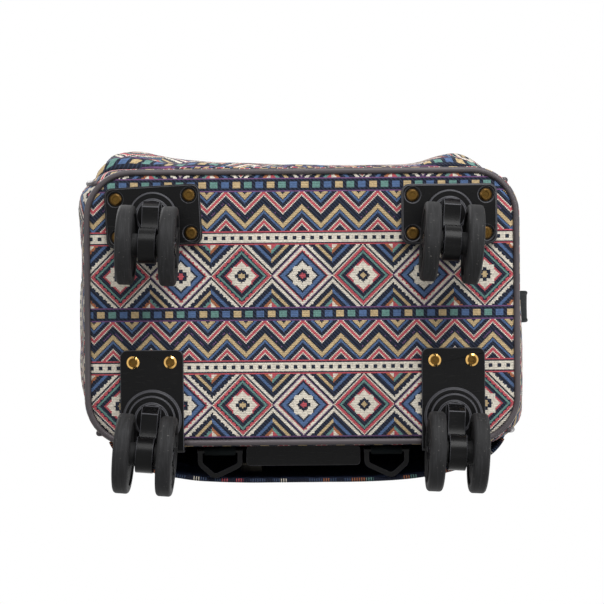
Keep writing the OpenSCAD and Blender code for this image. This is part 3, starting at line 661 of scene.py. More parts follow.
def eased(count: int) -> np.ndarray:
    """Numbers from -1 to 1 that crowd towards both ends."""
    return np.sin(np.pi / 2 * np.linspace(-1, 1, count))


def ripple(points: np.ndarray, size: float, seed: float) -> np.ndarray:
    """Seeded soft noise from about -1 to 1 at places, with the size of a wave in millimetres."""
    flat = points.reshape(-1, 3) / size + seed
    return np.array([noise.noise(Vector(p)) for p in flat]).reshape(points.shape[:-1])


def run_along(points: np.ndarray) -> np.ndarray:
    """Distance along a line to each of its points."""
    return np.concatenate([[0], np.cumsum(np.linalg.norm(np.diff(points, axis=0), axis=1))])


def sewn(shape: tuple[int, ...], fade: float, open_foot: bool = False) -> np.ndarray:
    """Weight with which the rim of a sheet's grid is sewn down.

    Args:
        shape: Rows and columns of the grid.
        fade: Rows over which the hold fades.
        open_foot: Leaves the first row free.

    Returns:
        Weights from 0 to 1.
    """
    r, c = np.indices(shape)
    rim = np.minimum(shape[0] - 1 - r, np.minimum(c, shape[1] - 1 - c))
    if not open_foot:
        rim = np.minimum(rim, r)
    return 1 - smooth_step((rim - 1) / fade)


def quads(rows: int, cols: int, ring: bool = False, loop: bool = False) -> list[list[int]]:
    """Faces of a grid of vertices.

    Args:
        rows: Number of rows.
        cols: Vertices in a row.
        ring: Joins each row's end to its start.
        loop: Joins the last row to the first.

    Returns:
        Four vertex numbers for each face.
    """
    corners = ((0, 0), (0, 1), (1, 1), (1, 0))
    return [[(r + i) % rows * cols + (c + j) % cols for i, j in corners]
            for r in range(rows if loop else rows - 1) for c in range(cols if ring else cols - 1)]


def show(name: str, data: bpy.types.ID) -> bpy.types.Object:
    """Puts data in the scene as a new object.

    Args:
        name: The object's name.
        data: Its mesh, curve, lamp or camera.

    Returns:
        The object.
    """
    made = bpy.data.objects.new(name, data)
    bpy.context.scene.collection.objects.link(made)
    return made


@contextmanager
def edited(mesh: bpy.types.Mesh) -> Iterator[bmesh.types.BMesh]:
    """Opens a mesh for editing and writes it back.

    Args:
        mesh: The mesh.

    Yields:
        The open mesh.
    """
    work = bmesh.new()
    work.from_mesh(mesh)
    yield work
    work.to_mesh(mesh)
    work.free()


def mesh_piece(name: str, points: np.ndarray, faces: Sequence[Sequence[int]],
               uvs: np.ndarray | None = None) -> bpy.types.Object:
    """Makes a smooth mesh object.

    Args:
        name: The piece's name.
        points: Vertices in millimetres.
        faces: Vertex numbers of each face.
        uvs: Cloth coordinates in metres for each vertex.

    Returns:
        The new object, at the origin.
    """
    mesh = bpy.data.meshes.new(name)
    mesh.from_pydata((points * MM).tolist(), [], faces)
    if uvs is not None:
        layer = mesh.uv_layers.new(name=UV_NAME)
        corner = np.zeros(len(mesh.loops), np.int32)
        mesh.loops.foreach_get("vertex_index", corner)
        layer.data.foreach_set("uv", uvs[corner].astype(np.float32).ravel())
    mesh.shade_smooth()
    return show(name, mesh)


def grid_piece(name: str, grid: np.ndarray, uvs: np.ndarray, flip: bool = False, ring: bool = False,
               keep: Callable[[np.ndarray], bool] | None = None) -> bpy.types.Object:
    """Makes a sheet from a grid of points.

    Args:
        name: The piece's name.
        grid: Points in millimetres, rows by columns by 3.
        uvs: Cloth coordinates in metres, rows by columns by 2.
        flip: Turns the faces over.
        ring: Closes the columns into a ring.
        keep: Says from a face's middle whether the face stays.

    Returns:
        The new object.
    """
    flat = grid.reshape(-1, 3)
    faces = [face[::-1] if flip else face for face in quads(*grid.shape[:2], ring=ring)]
    if keep is not None:
        faces = [face for face in faces if keep(flat[face].mean(0))]
    return mesh_piece(name, flat, faces, uvs.reshape(-1, 2))


def sweep_piece(name: str, path: np.ndarray, profile: np.ndarray, side: Sequence[float],
                closed: bool = False, swell: np.ndarray | None = None) -> bpy.types.Object:
    """Sweeps a closed profile along a path.

    Args:
        name: The piece's name.
        path: Points in millimetres.
        profile: Closed outline, as distances along the side and along the outward direction.
        side: Direction of the profile's first axis.
        closed: Joins the path's end to its start.
        swell: Factor on the profile at each point.

    Returns:
        The new object.
    """
    n, m = len(path), len(profile)
    along = np.roll(path, -1, 0) - np.roll(path, 1, 0) if closed else np.gradient(path, axis=0)
    along = along / np.linalg.norm(along, axis=1, keepdims=True)
    side = np.broadcast_to(np.asarray(side, float), (n, 3))
    side = side - along * (side * along).sum(1, keepdims=True)
    side = side / np.linalg.norm(side, axis=1, keepdims=True)
    out = np.cross(along, side)
    factor = np.ones(n) if swell is None else swell
    ring = profile[None, :, :1] * side[:, None] + profile[None, :, 1:] * out[:, None]
    points = path[:, None] + ring * factor[:, None, None]
    uvs = np.stack(np.broadcast_arrays(profile[None, :, 0], run_along(path)[:, None]), -1) * MM
    faces = quads(n, m, ring=True, loop=closed)
    if not closed:
        faces += [list(range(m))[::-1], [(n - 1) * m + c for c in range(m)]]
    piece = mesh_piece(name, points.reshape(-1, 3), faces, uvs.reshape(-1, 2))
    with edited(piece.data) as work:
        bmesh.ops.recalc_face_normals(work, faces=work.faces)
    return piece


def circle(radius: float, sides: int = 14) -> np.ndarray:
    """Outline of a round cord."""
    a = np.linspace(0, 2 * np.pi, sides, endpoint=False)
    return radius * np.stack([np.cos(a), np.sin(a)], -1)


def strip(half: float, thick: float) -> np.ndarray:
    """Outline of flat webbing, from half its width and half its thickness."""
    return np.array([(-half, -thick), (half, -thick), (half, thick), (-half, thick)])


def add_modifier(piece: bpy.types.Object, kind: str, **settings: Any) -> None:
    """Adds a modifier.

    Args:
        piece: The object.
        kind: The modifier's type.
        settings: Its values.
    """
    made = piece.modifiers.new(kind.lower(), kind)
    for key, value in settings.items():
        setattr(made, key, value)


def thicken(piece: bpy.types.Object, thick: float, lining: int = 0) -> None:
    """Gives a sheet its thickness in millimetres, and a lining if the inside has its own finish."""
    add_modifier(piece, "SOLIDIFY", thickness=thick * MM, offset=-1.0, material_offset=lining)


def dress(piece: bpy.types.Object, finishes: Finish | Sequence[Finish], body: str,
          nodes: Iterable[str] = ()) -> bpy.types.Object:
    """Gives a piece its finish, its body and the solids that it stands for.

    Args:
        piece: The finished object.
        finishes: Its finish, or one for each material index.
        body: The body that it moves with.
        nodes: Solids that it replaces.

    Returns:
        The same object.
    """
    piece.data.materials.clear()
    for finish in [finishes] if isinstance(finishes, Finish) else finishes:
        piece.data.materials.append(finish.material())
    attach(piece, body)
    if nodes:
        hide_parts(*nodes)
    LOG.info("made %s on %s with %d faces", piece.name, body, len(piece.data.polygons))
    return piece


@dataclass(frozen=True)
class Settle:
    """A short cloth run that lets a sewn panel swell and crease between its seams."""

    pressure: float
    slack: float
    cap: float
    bend: float = 0.6
    steps: int = 20
    quality: int = 5
    mass: float = 0.2
    stiff: float = 12.0
    shear: float = 6.0

    def run(self, piece: bpy.types.Object, held: np.ndarray) -> None:
        """Runs the cloth and keeps its result in the mesh.

        Args:
            piece: The panel, a plain sheet.
            held: Weight from 0 to 1 with which each vertex is sewn down.
        """
        rest = np.zeros((len(piece.data.vertices), 3), np.float32)
        now = np.zeros_like(rest)
        piece.data.vertices.foreach_get("co", rest.ravel())
        group = piece.vertex_groups.new(name="sewn")
        for k, weight in enumerate(held.ravel()):
            if weight > 0.01:
                group.add([k], float(weight), "REPLACE")
        cloth = piece.modifiers.new("cloth", "CLOTH")
        s = cloth.settings
        s.quality, s.mass = self.quality, self.mass
        s.tension_stiffness = s.compression_stiffness = self.stiff
        s.shear_stiffness, s.bending_stiffness = self.shear, self.bend
        s.use_pressure, s.uniform_pressure_force = True, self.pressure
        s.shrink_min = -self.slack
        s.vertex_group_mass = group.name
        s.effector_weights.gravity = 0.0
        cloth.collision_settings.use_collision = False
        cloth.point_cache.frame_start, cloth.point_cache.frame_end = 1, self.steps
        scene = bpy.context.scene
        for step in range(1, self.steps + 1):
            scene.frame_set(step)
        shown = piece.evaluated_get(bpy.context.evaluated_depsgraph_get())
        shown.data.vertices.foreach_get("co", now.ravel())
        move = now - rest
        far = np.linalg.norm(move, axis=1, keepdims=True)
        cap = self.cap * MM
        move *= cap * np.tanh(far / cap) / np.maximum(far, 1e-9)
        piece.modifiers.remove(cloth)
        piece.vertex_groups.remove(group)
        scene.frame_set(1)
        piece.data.vertices.foreach_set("co", (rest + move).ravel())
        piece.data.update()


class Repeat(Nodes):
    """A Geometry Nodes tree for a shape that repeats along a path."""

    def __init__(self, name: str, sizes: Sequence[str], vectors: Sequence[str] = ()) -> None:
        """Starts a tree with a path, named inputs and a mesh output, and sets points on the path.

        Args:
            name: The tree's name.
            sizes: Names of its number inputs, of which Pitch is the distance between points.
            vectors: Names of its vector inputs.
        """
        super().__init__(bpy.data.node_groups.new(name, "GeometryNodeTree"))
        face = self.tree.interface
        face.new_socket("Path", in_out="INPUT", socket_type="NodeSocketGeometry")
        face.new_socket("Mesh", in_out="OUTPUT", socket_type="NodeSocketGeometry")
        kinds = {**dict.fromkeys(sizes, "Float"), **dict.fromkeys(vectors, "Vector")}
        self.names = {}
        for key, kind in {**kinds, "Finish": "Material"}.items():
            socket = face.new_socket(key, in_out="INPUT", socket_type="NodeSocket" + kind)
            self.names[key] = socket.identifier
        self.given = self.add("NodeGroupInput").outputs
        self.points = self.add("GeometryNodeCurveToPoints", {"mode": "LENGTH"},
                               {0: self.given[0], "Length": self.given["Pitch"]})

    def close(self, points: bpy.types.Node, shape: bpy.types.Node, long: str,
              along: bpy.types.NodeSocket) -> None:
        """Ends the tree: sets a scaled and turned shape on each point, as real meshes with a finish.

        Args:
            points: The node that gives the points.
            shape: The node that gives the shape, one metre in size.
            long: Name of the input for its length.
            along: Direction of its length.
        """
        thick = self.given["Thickness"]
        size = self.add("ShaderNodeCombineXYZ", {}, {0: thick, 1: thick, 2: self.given[long]})
        unit = self.add("GeometryNodeTransform", {}, {0: shape.outputs[0], "Scale": size.outputs[0]})
        turn = self.add("FunctionNodeAlignRotationToVector", {"axis": "Z"}, {"Vector": along})
        rows = self.add("GeometryNodeInstanceOnPoints", {}, {
            0: points.outputs[0], "Instance": unit.outputs[0], "Rotation": turn.outputs[0]})
        real = self.add("GeometryNodeRealizeInstances", {}, {0: rows.outputs[0]})
        finish = self.given["Finish"]
        done = self.add("GeometryNodeSetMaterial", {}, {0: real.outputs[0], "Material": finish})
        self.add("NodeGroupOutput", {}, {0: done.outputs[0]})

    def along(self, name: str, lines: Sequence[np.ndarray], finish: Finish,
              **values: Any) -> bpy.types.Object:
        """Runs the tree on some lines and returns the result as a plain mesh.

        Args:
            name: The piece's name.
            lines: Paths in millimetres.
            finish: The shapes' finish.
            values: Values of the named inputs.

        Returns:
            The new object.
        """
        curve = bpy.data.curves.new(name + "_path", "CURVE")
        curve.dimensions = "3D"
        for line in lines:
            spline = curve.splines.new("POLY")
            spline.points.add(len(line) - 1)
            spline.points.foreach_set("co", np.column_stack([line * MM, np.ones(len(line))]).ravel())
        guide = show(name + "_path", curve)
        work = guide.modifiers.new("repeat", "NODES")
        work.node_group = self.tree
        for key, value in values.items():
            work[self.names[key]] = value
        work[self.names["Finish"]] = finish.material()
        graph = bpy.context.evaluated_depsgraph_get()
        mesh = bpy.data.meshes.new_from_object(guide.evaluated_get(graph), depsgraph=graph)
        guide.modifiers.remove(work)
        bpy.data.objects.remove(guide)
        mesh.name = name
        mesh.shade_smooth()
        return show(name, mesh)


class Stitching(Repeat):
    """Rows of thread stitches along seams."""

    thread = 0.55
    fill = 0.78

    def __init__(self) -> None:
        """Builds the tree: long round stitches turned along the seam."""
        super().__init__("stitches", ("Pitch", "Length", "Thickness"))
        ball = self.add("GeometryNodeMeshUVSphere", {}, {"Segments": 6, "Rings": 4, "Radius": 0.5})
        self.close(self.points, ball, "Length", self.points.outputs["Tangent"])

    def sew(self, name: str, lines: Sequence[np.ndarray], pitch: float = 3.2) -> None:
        """Sews rows of stitches.

        Args:
            name: The piece's name.
            lines: Seams in millimetres.
            pitch: Distance between stitches.
        """
        piece = self.along(name, lines, FINISH.thread, Pitch=pitch * MM, Length=pitch * self.fill * MM,
                           Thickness=self.thread * MM)
        dress(piece, FINISH.thread, "bag")


class ZipChain(Repeat):
    """Coil of a closed zip, whose loops reach in from both sides by turns."""

    sizes = {"Pitch": 0.95 * MM, "Reach": 3.6 * MM, "Thickness": 1.15 * MM, "Shift": 0.9 * MM}

    def __init__(self) -> None:
        """Builds the tree: round loops across the chain, shifted to each side by turns."""
        super().__init__("zip_chain", tuple(self.sizes), ("Across",))
        across = self.given["Across"]
        value = self.add("GeometryNodeInputIndex").outputs[0]
        for operation, *others in (("FLOORED_MODULO", 2.0), ("MULTIPLY_ADD", 2.0, -1.0),
                                   ("MULTIPLY", self.given["Shift"])):
            value = self.add("ShaderNodeMath", {"operation": operation},
                             dict(enumerate((value, *others)))).outputs[0]
        offset = self.add("ShaderNodeVectorMath", {"operation": "SCALE"}, {0: across, "Scale": value})
        spread = self.add("GeometryNodeSetPosition", {}, {
            0: self.points.outputs[0], "Offset": offset.outputs[0]})
        loop = self.add("GeometryNodeMeshCylinder", {}, {"Vertices": 8, "Radius": 0.5, "Depth": 1.0})
        self.close(spread, loop, "Reach", across)

    def close_zip(self, name: str, line: np.ndarray, across: Sequence[float]) -> None:
        """Lays a chain on a line, with the direction from one tape to the other."""
        piece = self.along(name, [line], FINISH.coil, Across=tuple(across), **self.sizes)
        dress(piece, FINISH.coil, "bag")


@dataclass(frozen=True)
class BodyForm:
    """Outline of the bag's body, which panels, piping and zips all follow."""

    width: float = 313.0
    depth: float = 200.0
    wall_z: float = 69.6
    top: float = 466.1
    top_r: float = 60.0
    edge_r: float = 18.0
    bow: float = 8.0
    base_half: tuple[float, float] = (155.4, 98.9)
    base_r: float = 34.4
    draw: float = 16.0
    draw_down: float = 1.6
    slump: float = 1.2
    twist: float = 4.5
    soft: float = 110.0
    turn_from: float = 50.0
    turn_over: float = 40.0
    belly: tuple[float, float] = (90.0, 36.0)
    zip_y: float = -34.0
    tape: float = 26.0
    pocket_zip_z: float = 319.4
    haul_y: float = 24.0
    side_y: float = 2.0
    side_z: float = 266.1

    @property
    def shoulder(self) -> float:
        """Height at which the upper corners begin."""
        return self.top - self.top_r

    def lean(self, z: np.ndarray) -> np.ndarray:
        """Half width of the body at a height up to the shoulder."""
        t = np.clip((z - self.wall_z) / (self.shoulder - self.wall_z), 0, 1)
        return self.width / 2 + self.bow * np.sin(np.pi * t)

    def half_line(self, inset: float, steps: int = 64, turns: int = 16) -> np.ndarray:
        """Right half of the outline from the foot to the end of the upper corner.

        Args:
            inset: How far inside the outline it runs.
            steps: Points up the side.
            turns: Points round the corner.

        Returns:
            Points (x, z).
        """
        z = np.linspace(self.wall_z, self.shoulder, steps)
        side = np.stack([self.lean(z) - inset, z], -1)
        a = np.linspace(0, np.pi / 2, turns + 1)[1:]
        r = self.top_r - inset
        middle = self.width / 2 - self.top_r
        corner = np.stack([middle + r * np.cos(a), self.shoulder + r * np.sin(a)], -1)
        return np.concatenate([side, corner])

    def outline(self, inset: float, flat: int = 38) -> np.ndarray:
        """Whole outline from the lower left over the top to the lower right.

        Args:
            inset: How far inside the outline it runs.
            flat: Points along the top.

        Returns:
            Points (x, z).
        """
        half = self.half_line(inset)
        x = np.linspace(-half[-1, 0], half[-1, 0], flat)[1:-1]
        left = half * [-1, 1]
        return np.concatenate([left, np.stack([x, np.full_like(x, half[-1, 1])], -1), half[::-1]])

    def edge_inset(self, angle: float) -> float:
        """How far the body's rounded edge has turned in at an angle from the side."""
        return self.edge_r * (1 - math.cos(angle))

    def edge_y(self, angle: float) -> float:
        """How far forward or back the rounded edge has come at that angle."""
        return self.depth / 2 - self.edge_r * (1 - math.sin(angle))

    def drawn(self, points: np.ndarray) -> np.ndarray:
        """Draws the lowest part of a wall in to the base piping.

        Args:
            points: Places in millimetres.

        Returns:
            The moved places.
        """
        out = points.copy()
        y, z = points[..., 1], points[..., 2]
        pull = (1 - np.clip((z - self.wall_z) / self.draw, 0, 1)) ** 2
        inner = np.array(self.base_half) - self.base_r
        core = np.clip(points[..., :2], -inner, inner)
        away = points[..., :2] - core
        far = np.maximum(np.linalg.norm(away, axis=-1), 1e-6)
        corner = hump((z - self.wall_z) / self.soft) * (np.abs(away).min(-1) > 0)
        room = self.base_r + self.lean(z) - self.base_half[0]
        near = far - corner * np.maximum(0, far - room)
        near += (self.base_r - near) * pull
        out[..., :2] = core + away * (near / far)[..., None]
        front, rear = (smooth_step((s * y - self.turn_from) / self.turn_over) for s in (-1, 1))
        bulge = hump((z - self.belly[0]) / self.belly[1])
        out[..., 0] += (self.twist * (rear - front) - self.slump) * (1 - pull) * bulge
        out[..., 2] -= self.draw_down * pull
        return out


FORM = BodyForm()


@dataclass
class BodyShell:
    """Front panel, gusset and back panel, sewn together under two pipings."""

    form: BodyForm = FORM
    seam: float = math.radians(45)
    thick: float = 1.6
    cord_r: float = 2.2
    fade: float = 5.0
    zip_hold: float = 22.0
    sleeve_hold: tuple[float, float] = (430.0, 12.0)
    foot_hold: float = 20.0
    side_foot: float = 68.0
    haul_foot: float = 72.0
    lid: float = 440.0

    def panel_grid(self, side: int) -> tuple[np.ndarray, np.ndarray]:
        """Grid of the front or back panel, from seam to seam over the rounded edges.

        Args:
            side: -1 for the front, 1 for the back.

        Returns:
            Points in millimetres and cloth coordinates in metres.
        """
        f = self.form
        d = f.edge_inset(self.seam)
        half = f.half_line(d, 70, 16)
        t = np.linspace(-1, 1, 61)
        x = half[:, :1] * (np.sign(t) * (1 - (1 - np.abs(t)) ** 1.35))[None]
        z = np.broadcast_to(half[:, 1:], x.shape)
        inset = np.minimum(half[:, :1] + d - np.abs(x), f.top - z)
        cx, cz = np.abs(x) - (f.width / 2 - f.top_r), z - f.shoulder
        inset = np.where((cx > 0) & (cz > 0), f.top_r - np.hypot(cx, cz), inset)
        k = np.clip(inset, 0, f.edge_r)
        y = f.depth / 2 - f.edge_r + np.sqrt(np.maximum(0, f.edge_r ** 2 - (f.edge_r - k) ** 2))
        grid = f.drawn(np.stack([x, side * y, z], -1))
        return grid, np.stack([side * -x, z], -1) * MM

    def panel(self, side: int, name: str, node: str) -> None:
        """Builds the front or back panel, held where the pocket or the sleeve covers it.

        Args:
            side: -1 for the front, 1 for the back.
            name: The piece's name.
            node: The solid that it stands for.
        """
        grid, uvs = self.panel_grid(side)
        held = sewn(grid.shape[:2], self.fade)
        z, zip_z = grid[..., 2], self.form.pocket_zip_z
        if side < 0:
            below = np.maximum(hump((z - zip_z) / self.zip_hold, 4), (z < zip_z).astype(float))
            held = np.maximum(held, below)
        else:
            high, over = self.sleeve_hold
            held = np.maximum(held, smooth_step((high - z) / over))
        grid[..., 1] += side * 0.5 * ripple(grid, size=46, seed=7.3 + side) * (1 - held)
        piece = grid_piece(name, grid, uvs, flip=side > 0)
        Settle(pressure=2.0, slack=0.01, cap=4.0).run(piece, held)
        thicken(piece, self.thick)
        dress(piece, FINISH.cloth, "bag", [node])

    def gusset(self) -> None:
        """Builds the band of cloth over the sides and the top, held under the zip and the handles."""
        f = self.form
        turn = np.linspace(self.seam, 0, 6)
        flat = np.linspace(-(f.depth / 2 - f.edge_r), f.depth / 2 - f.edge_r, 34)
        columns = [(a, -f.edge_y(a)) for a in turn] + [(0.0, y) for y in flat[1:-1]]
        columns += [(a, f.edge_y(a)) for a in turn[::-1]]
        lines = [f.outline(f.edge_inset(a)) for a, _ in columns]
        grid = np.stack([np.column_stack([p[:, 0], np.full(len(p), y), p[:, 1]])
                         for p, (_, y) in zip(lines, columns)], 1)
        run = run_along(lines[len(lines) // 2])
        across = np.array([y * 1.02 for _, y in columns])
        uvs = np.stack(np.broadcast_arrays(across[None], (run - run[-1] / 2)[:, None]), -1) * MM
        grid = f.drawn(grid)
        x, y, z = grid[..., 0], grid[..., 1], grid[..., 2]
        along = (np.abs(z - f.side_z) - self.side_foot, np.abs(x) - self.haul_foot)
        foot, top = (hump(s / self.foot_hold, 4) * hump((y - mid) / self.foot_hold, 4)
                     for s, mid in zip(along, (f.side_y, f.haul_y)))
        tape = hump((y - f.zip_y) / (0.62 * f.tape), 6)
        holds = [sewn(grid.shape[:2], self.fade), tape, foot * (x > 0), top * (z > self.lid)]
        held = np.clip(np.max(holds, axis=0), 0, 1)
        away = np.sign(x) * (z < f.shoulder)
        grid[..., 0] += away * 0.6 * ripple(grid, size=52, seed=3.1) * (1 - held)
        piece = grid_piece("gusset_cloth", grid, uvs, flip=True)
        Settle(pressure=1.6, slack=0.012, cap=4.5).run(piece, held)
        thicken(piece, self.thick)
        dress(piece, FINISH.cloth, "bag", ["gusset"])

    def edge_piping(self, side: int, name: str, node: str) -> None:
        """Builds the cord in the seam of the front or back panel.

        Args:
            side: -1 for the front, 1 for the back.
            name: The piece's name.
            node: The solid that it stands for.
        """
        f = self.form
        x, z = f.outline(f.edge_inset(self.seam)).T
        path = f.drawn(np.column_stack([x, np.full(len(x), side * f.edge_y(self.seam)), z]))
        swell = 1 + 0.04 * ripple(path, size=30, seed=1.7)
        piece = sweep_piece(name, path, circle(self.cord_r), (0, 1, 0), swell=swell)
        dress(piece, FINISH.vinyl, "bag", [node])

    def build(self) -> None:
        """Builds all five pieces."""
        self.panel(-1, "front_cloth", "front_panel")
        self.panel(1, "back_cloth", "back_panel")
        self.gusset()
        self.edge_piping(-1, "front_cord", "front_piping")
        self.edge_piping(1, "back_cord", "back_piping")


@dataclass
class BasePanel:
    """Woven base with its piping."""

    half: tuple[float, float] = (155.0, 98.5)
    corner: float = 34.0
    cord_r: float = 2.2
    z: float = 66.1
    cord_z: float = 67.1
    thick: float = 1.2
    groove: float = 2.6
    groove_w: float = 1.5
    pucker: float = 0.28
    pucker_w: float = 7.0
    pitch: float = 13.0
    drift: tuple[float, float] = (1.7, 41.0)
    bracket_w: float = 45.6
    bracket_y: float = 80.0
    pressed: float = 0.8
    lifted: float = 1.0
    bracket_x: float = field(init=False)

    def __post_init__(self) -> None:
        """Takes the brackets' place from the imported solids."""
        low, high = extent("rear_bracket_right")
        self.bracket_x = (low[0] + high[0]) / 2

    def outline(self, inset: float, step: float = 3.0) -> np.ndarray:
        """Rounded outline of the base.

        Args:
            inset: How far inside the edge it runs.
            step: Distance between points.

        Returns:
            Points (x, y) round the base.
        """
        hx, hy, r = self.half[0] - inset, self.half[1] - inset, self.corner - inset
        ends = ((r - hx, hy), (-hx, r - hy), (hx - r, -hy), (hx, hy - r))
        points = []
        for k, (sx, sy) in enumerate(((1, 1), (-1, 1), (-1, -1), (1, -1))):
            a = np.linspace(0, np.pi / 2, max(8, int(r * np.pi / 2 / step))) + k * np.pi / 2
            points.append(np.stack([sx * (hx - r) + r * np.cos(a), sy * (hy - r) + r * np.sin(a)], -1))
            last = points[-1][-1]
            way = np.array(ends[k]) - last
            count = int(np.linalg.norm(way) / step)
            points.append(last + way * np.linspace(0, 1, count + 1)[1:-1, None])
        return np.concatenate(points)

    def cloth(self) -> None:
        """Builds the panel, which rolls up into its seam at the rim."""
        rim = self.outline(self.cord_r * 1.6)
        run = run_along(rim)
        much, every = self.drift
        pucker = self.pucker * np.sin(run * 2 * np.pi / self.pitch + much * np.sin(run / every))
        rows = []
        for share in np.concatenate([np.linspace(0.04, 0.9, 30), np.linspace(0.92, 1.0, 10)]):
            plan = rim * share
            gap = np.linalg.norm(rim - plan, axis=1)
            rise = self.groove * np.exp(-gap / self.groove_w) + pucker * np.exp(-gap / self.pucker_w)
            z = self.z - 0.1 + rise
            point = np.column_stack([plan, z])
            point[:, 2] += 0.22 * ripple(point, size=40, seed=5.5) * np.clip(gap / 8, 0, 1)
            rows.append(point)
        grid = np.stack(rows)
        uvs = np.stack([grid[..., 0], -grid[..., 1]], -1) * MM
        piece = grid_piece("base_cloth", grid, uvs, flip=True, ring=True)
        with edited(piece.data) as work:
            layer = work.loops.layers.uv.active
            work.verts.ensure_lookup_table()
            hub = work.faces.new([work.verts[k] for k in range(len(rim))][::-1])
            hub.smooth = True
            for corner in hub.loops:
                corner[layer].uv = (corner.vert.co.x, -corner.vert.co.y)
            bmesh.ops.recalc_face_normals(work, faces=work.faces)
            if sum(f.normal.z * f.calc_area() for f in work.faces) > 0:
                bmesh.ops.reverse_faces(work, faces=work.faces)
        thicken(piece, self.thick)
        dress(piece, FINISH.cloth, "bag", ["base_panel"])

    def piping(self) -> None:
        """Builds the cord round the base, which thins and lifts under each rear bracket."""
        rim = self.outline(self.cord_r, 2.4)
        path = np.column_stack([rim, np.full(len(rim), self.cord_z)])
        under = np.abs(np.abs(path[:, 0]) - self.bracket_x) < self.bracket_w / 2
        under &= path[:, 1] > self.bracket_y
        path[:, 2] += np.where(under, self.lifted, 0.0)
        swell = (1 + 0.045 * ripple(path, size=24, seed=9.1)) * np.where(under, self.pressed, 1.0)
        piece = sweep_piece("base_cord", path, circle(self.cord_r, 16), (0, 0, 1), True, swell)
        dress(piece, FINISH.vinyl, "bag", ["base_piping"])

    def build(self) -> None:
        """Builds the panel and its piping."""
        self.cloth()
        self.piping()


@dataclass
class FrontPocket:
    """Pouch on the front that stands out at its lower corners and lies flat between them.

    Each lobe is a bulge of the lower edge: how far it stands out, where it is and how wide.
    """

    form: BodyForm = FORM
    reach: tuple[float, float] = (146.0, 138.0)
    height: float = 226.0
    middle: float = 193.1
    depth: float = 21.0
    flat: float = 0.8
    rise: float = 0.42
    rise_from: float = -0.85
    lobes: tuple[Triple, ...] = ((15.5, -132.0, 32.0), (4.6, -74.0, 46.0), (11.5, 114.0, 20.0))
    taper: float = 0.08
    thick: float = 1.4
    fade: float = 4.0
    rows: int = 60
    cols: int = 72

    def seat(self, x: np.ndarray) -> np.ndarray:
        """Where the front panel's face lies, which turns back at its rounded edges.

        Args:
            x: Distance across.

        Returns:
            The face's y.
        """
        f = self.form
        inset = np.clip(f.width / 2 - np.abs(x), 0, f.edge_r)
        round_off = f.edge_r - np.sqrt(f.edge_r ** 2 - (f.edge_r - inset) ** 2)
        return -f.depth / 2 - 0.3 + round_off

    def grid(self) -> tuple[np.ndarray, np.ndarray]:
        """Grid of the pouch.

        Returns:
            Points in millimetres and cloth coordinates in metres.
        """
        v, u = np.meshgrid(eased(self.rows), eased(self.cols), indexing="ij")
        belly = np.sqrt((1 - np.abs(u) ** 10) * (1 - np.abs(v) ** 6))
        x = np.where(u < 0, *self.reach) * u * np.sqrt(1 - self.taper * np.maximum(v, 0) ** 2)
        z = self.middle + self.height / 2 * v * np.sqrt(1 - self.taper * u * u)
        low = self.flat + sum(rise * hump((x - at) / wide) for rise, at, wide in self.lobes)
        full = low + (self.depth - low) * np.clip(self.rise * (v - self.rise_from), 0, 1)
        panel = np.stack([x, self.seat(x), z], -1)
        grid = panel + (self.form.drawn(panel) - panel) * (1 - belly[..., None] ** 2)
        grid[..., 1] -= full * belly
        return grid, np.stack([x * (1 + 0.1 * belly), z], -1) * MM

    def build(self) -> None:
        """Builds the pouch."""
        grid, uvs = self.grid()
        held = sewn(grid.shape[:2], self.fade)
        grid[..., 1] += 0.9 * ripple(grid, size=38, seed=2.2) * (1 - held)
        piece = grid_piece("pocket_cloth", grid, uvs)
        Settle(pressure=0.5, slack=0.02, cap=2.0, bend=0.4).run(piece, held)
        thicken(piece, self.thick)
        dress(piece, FINISH.cloth, "bag", ["front_pocket"])


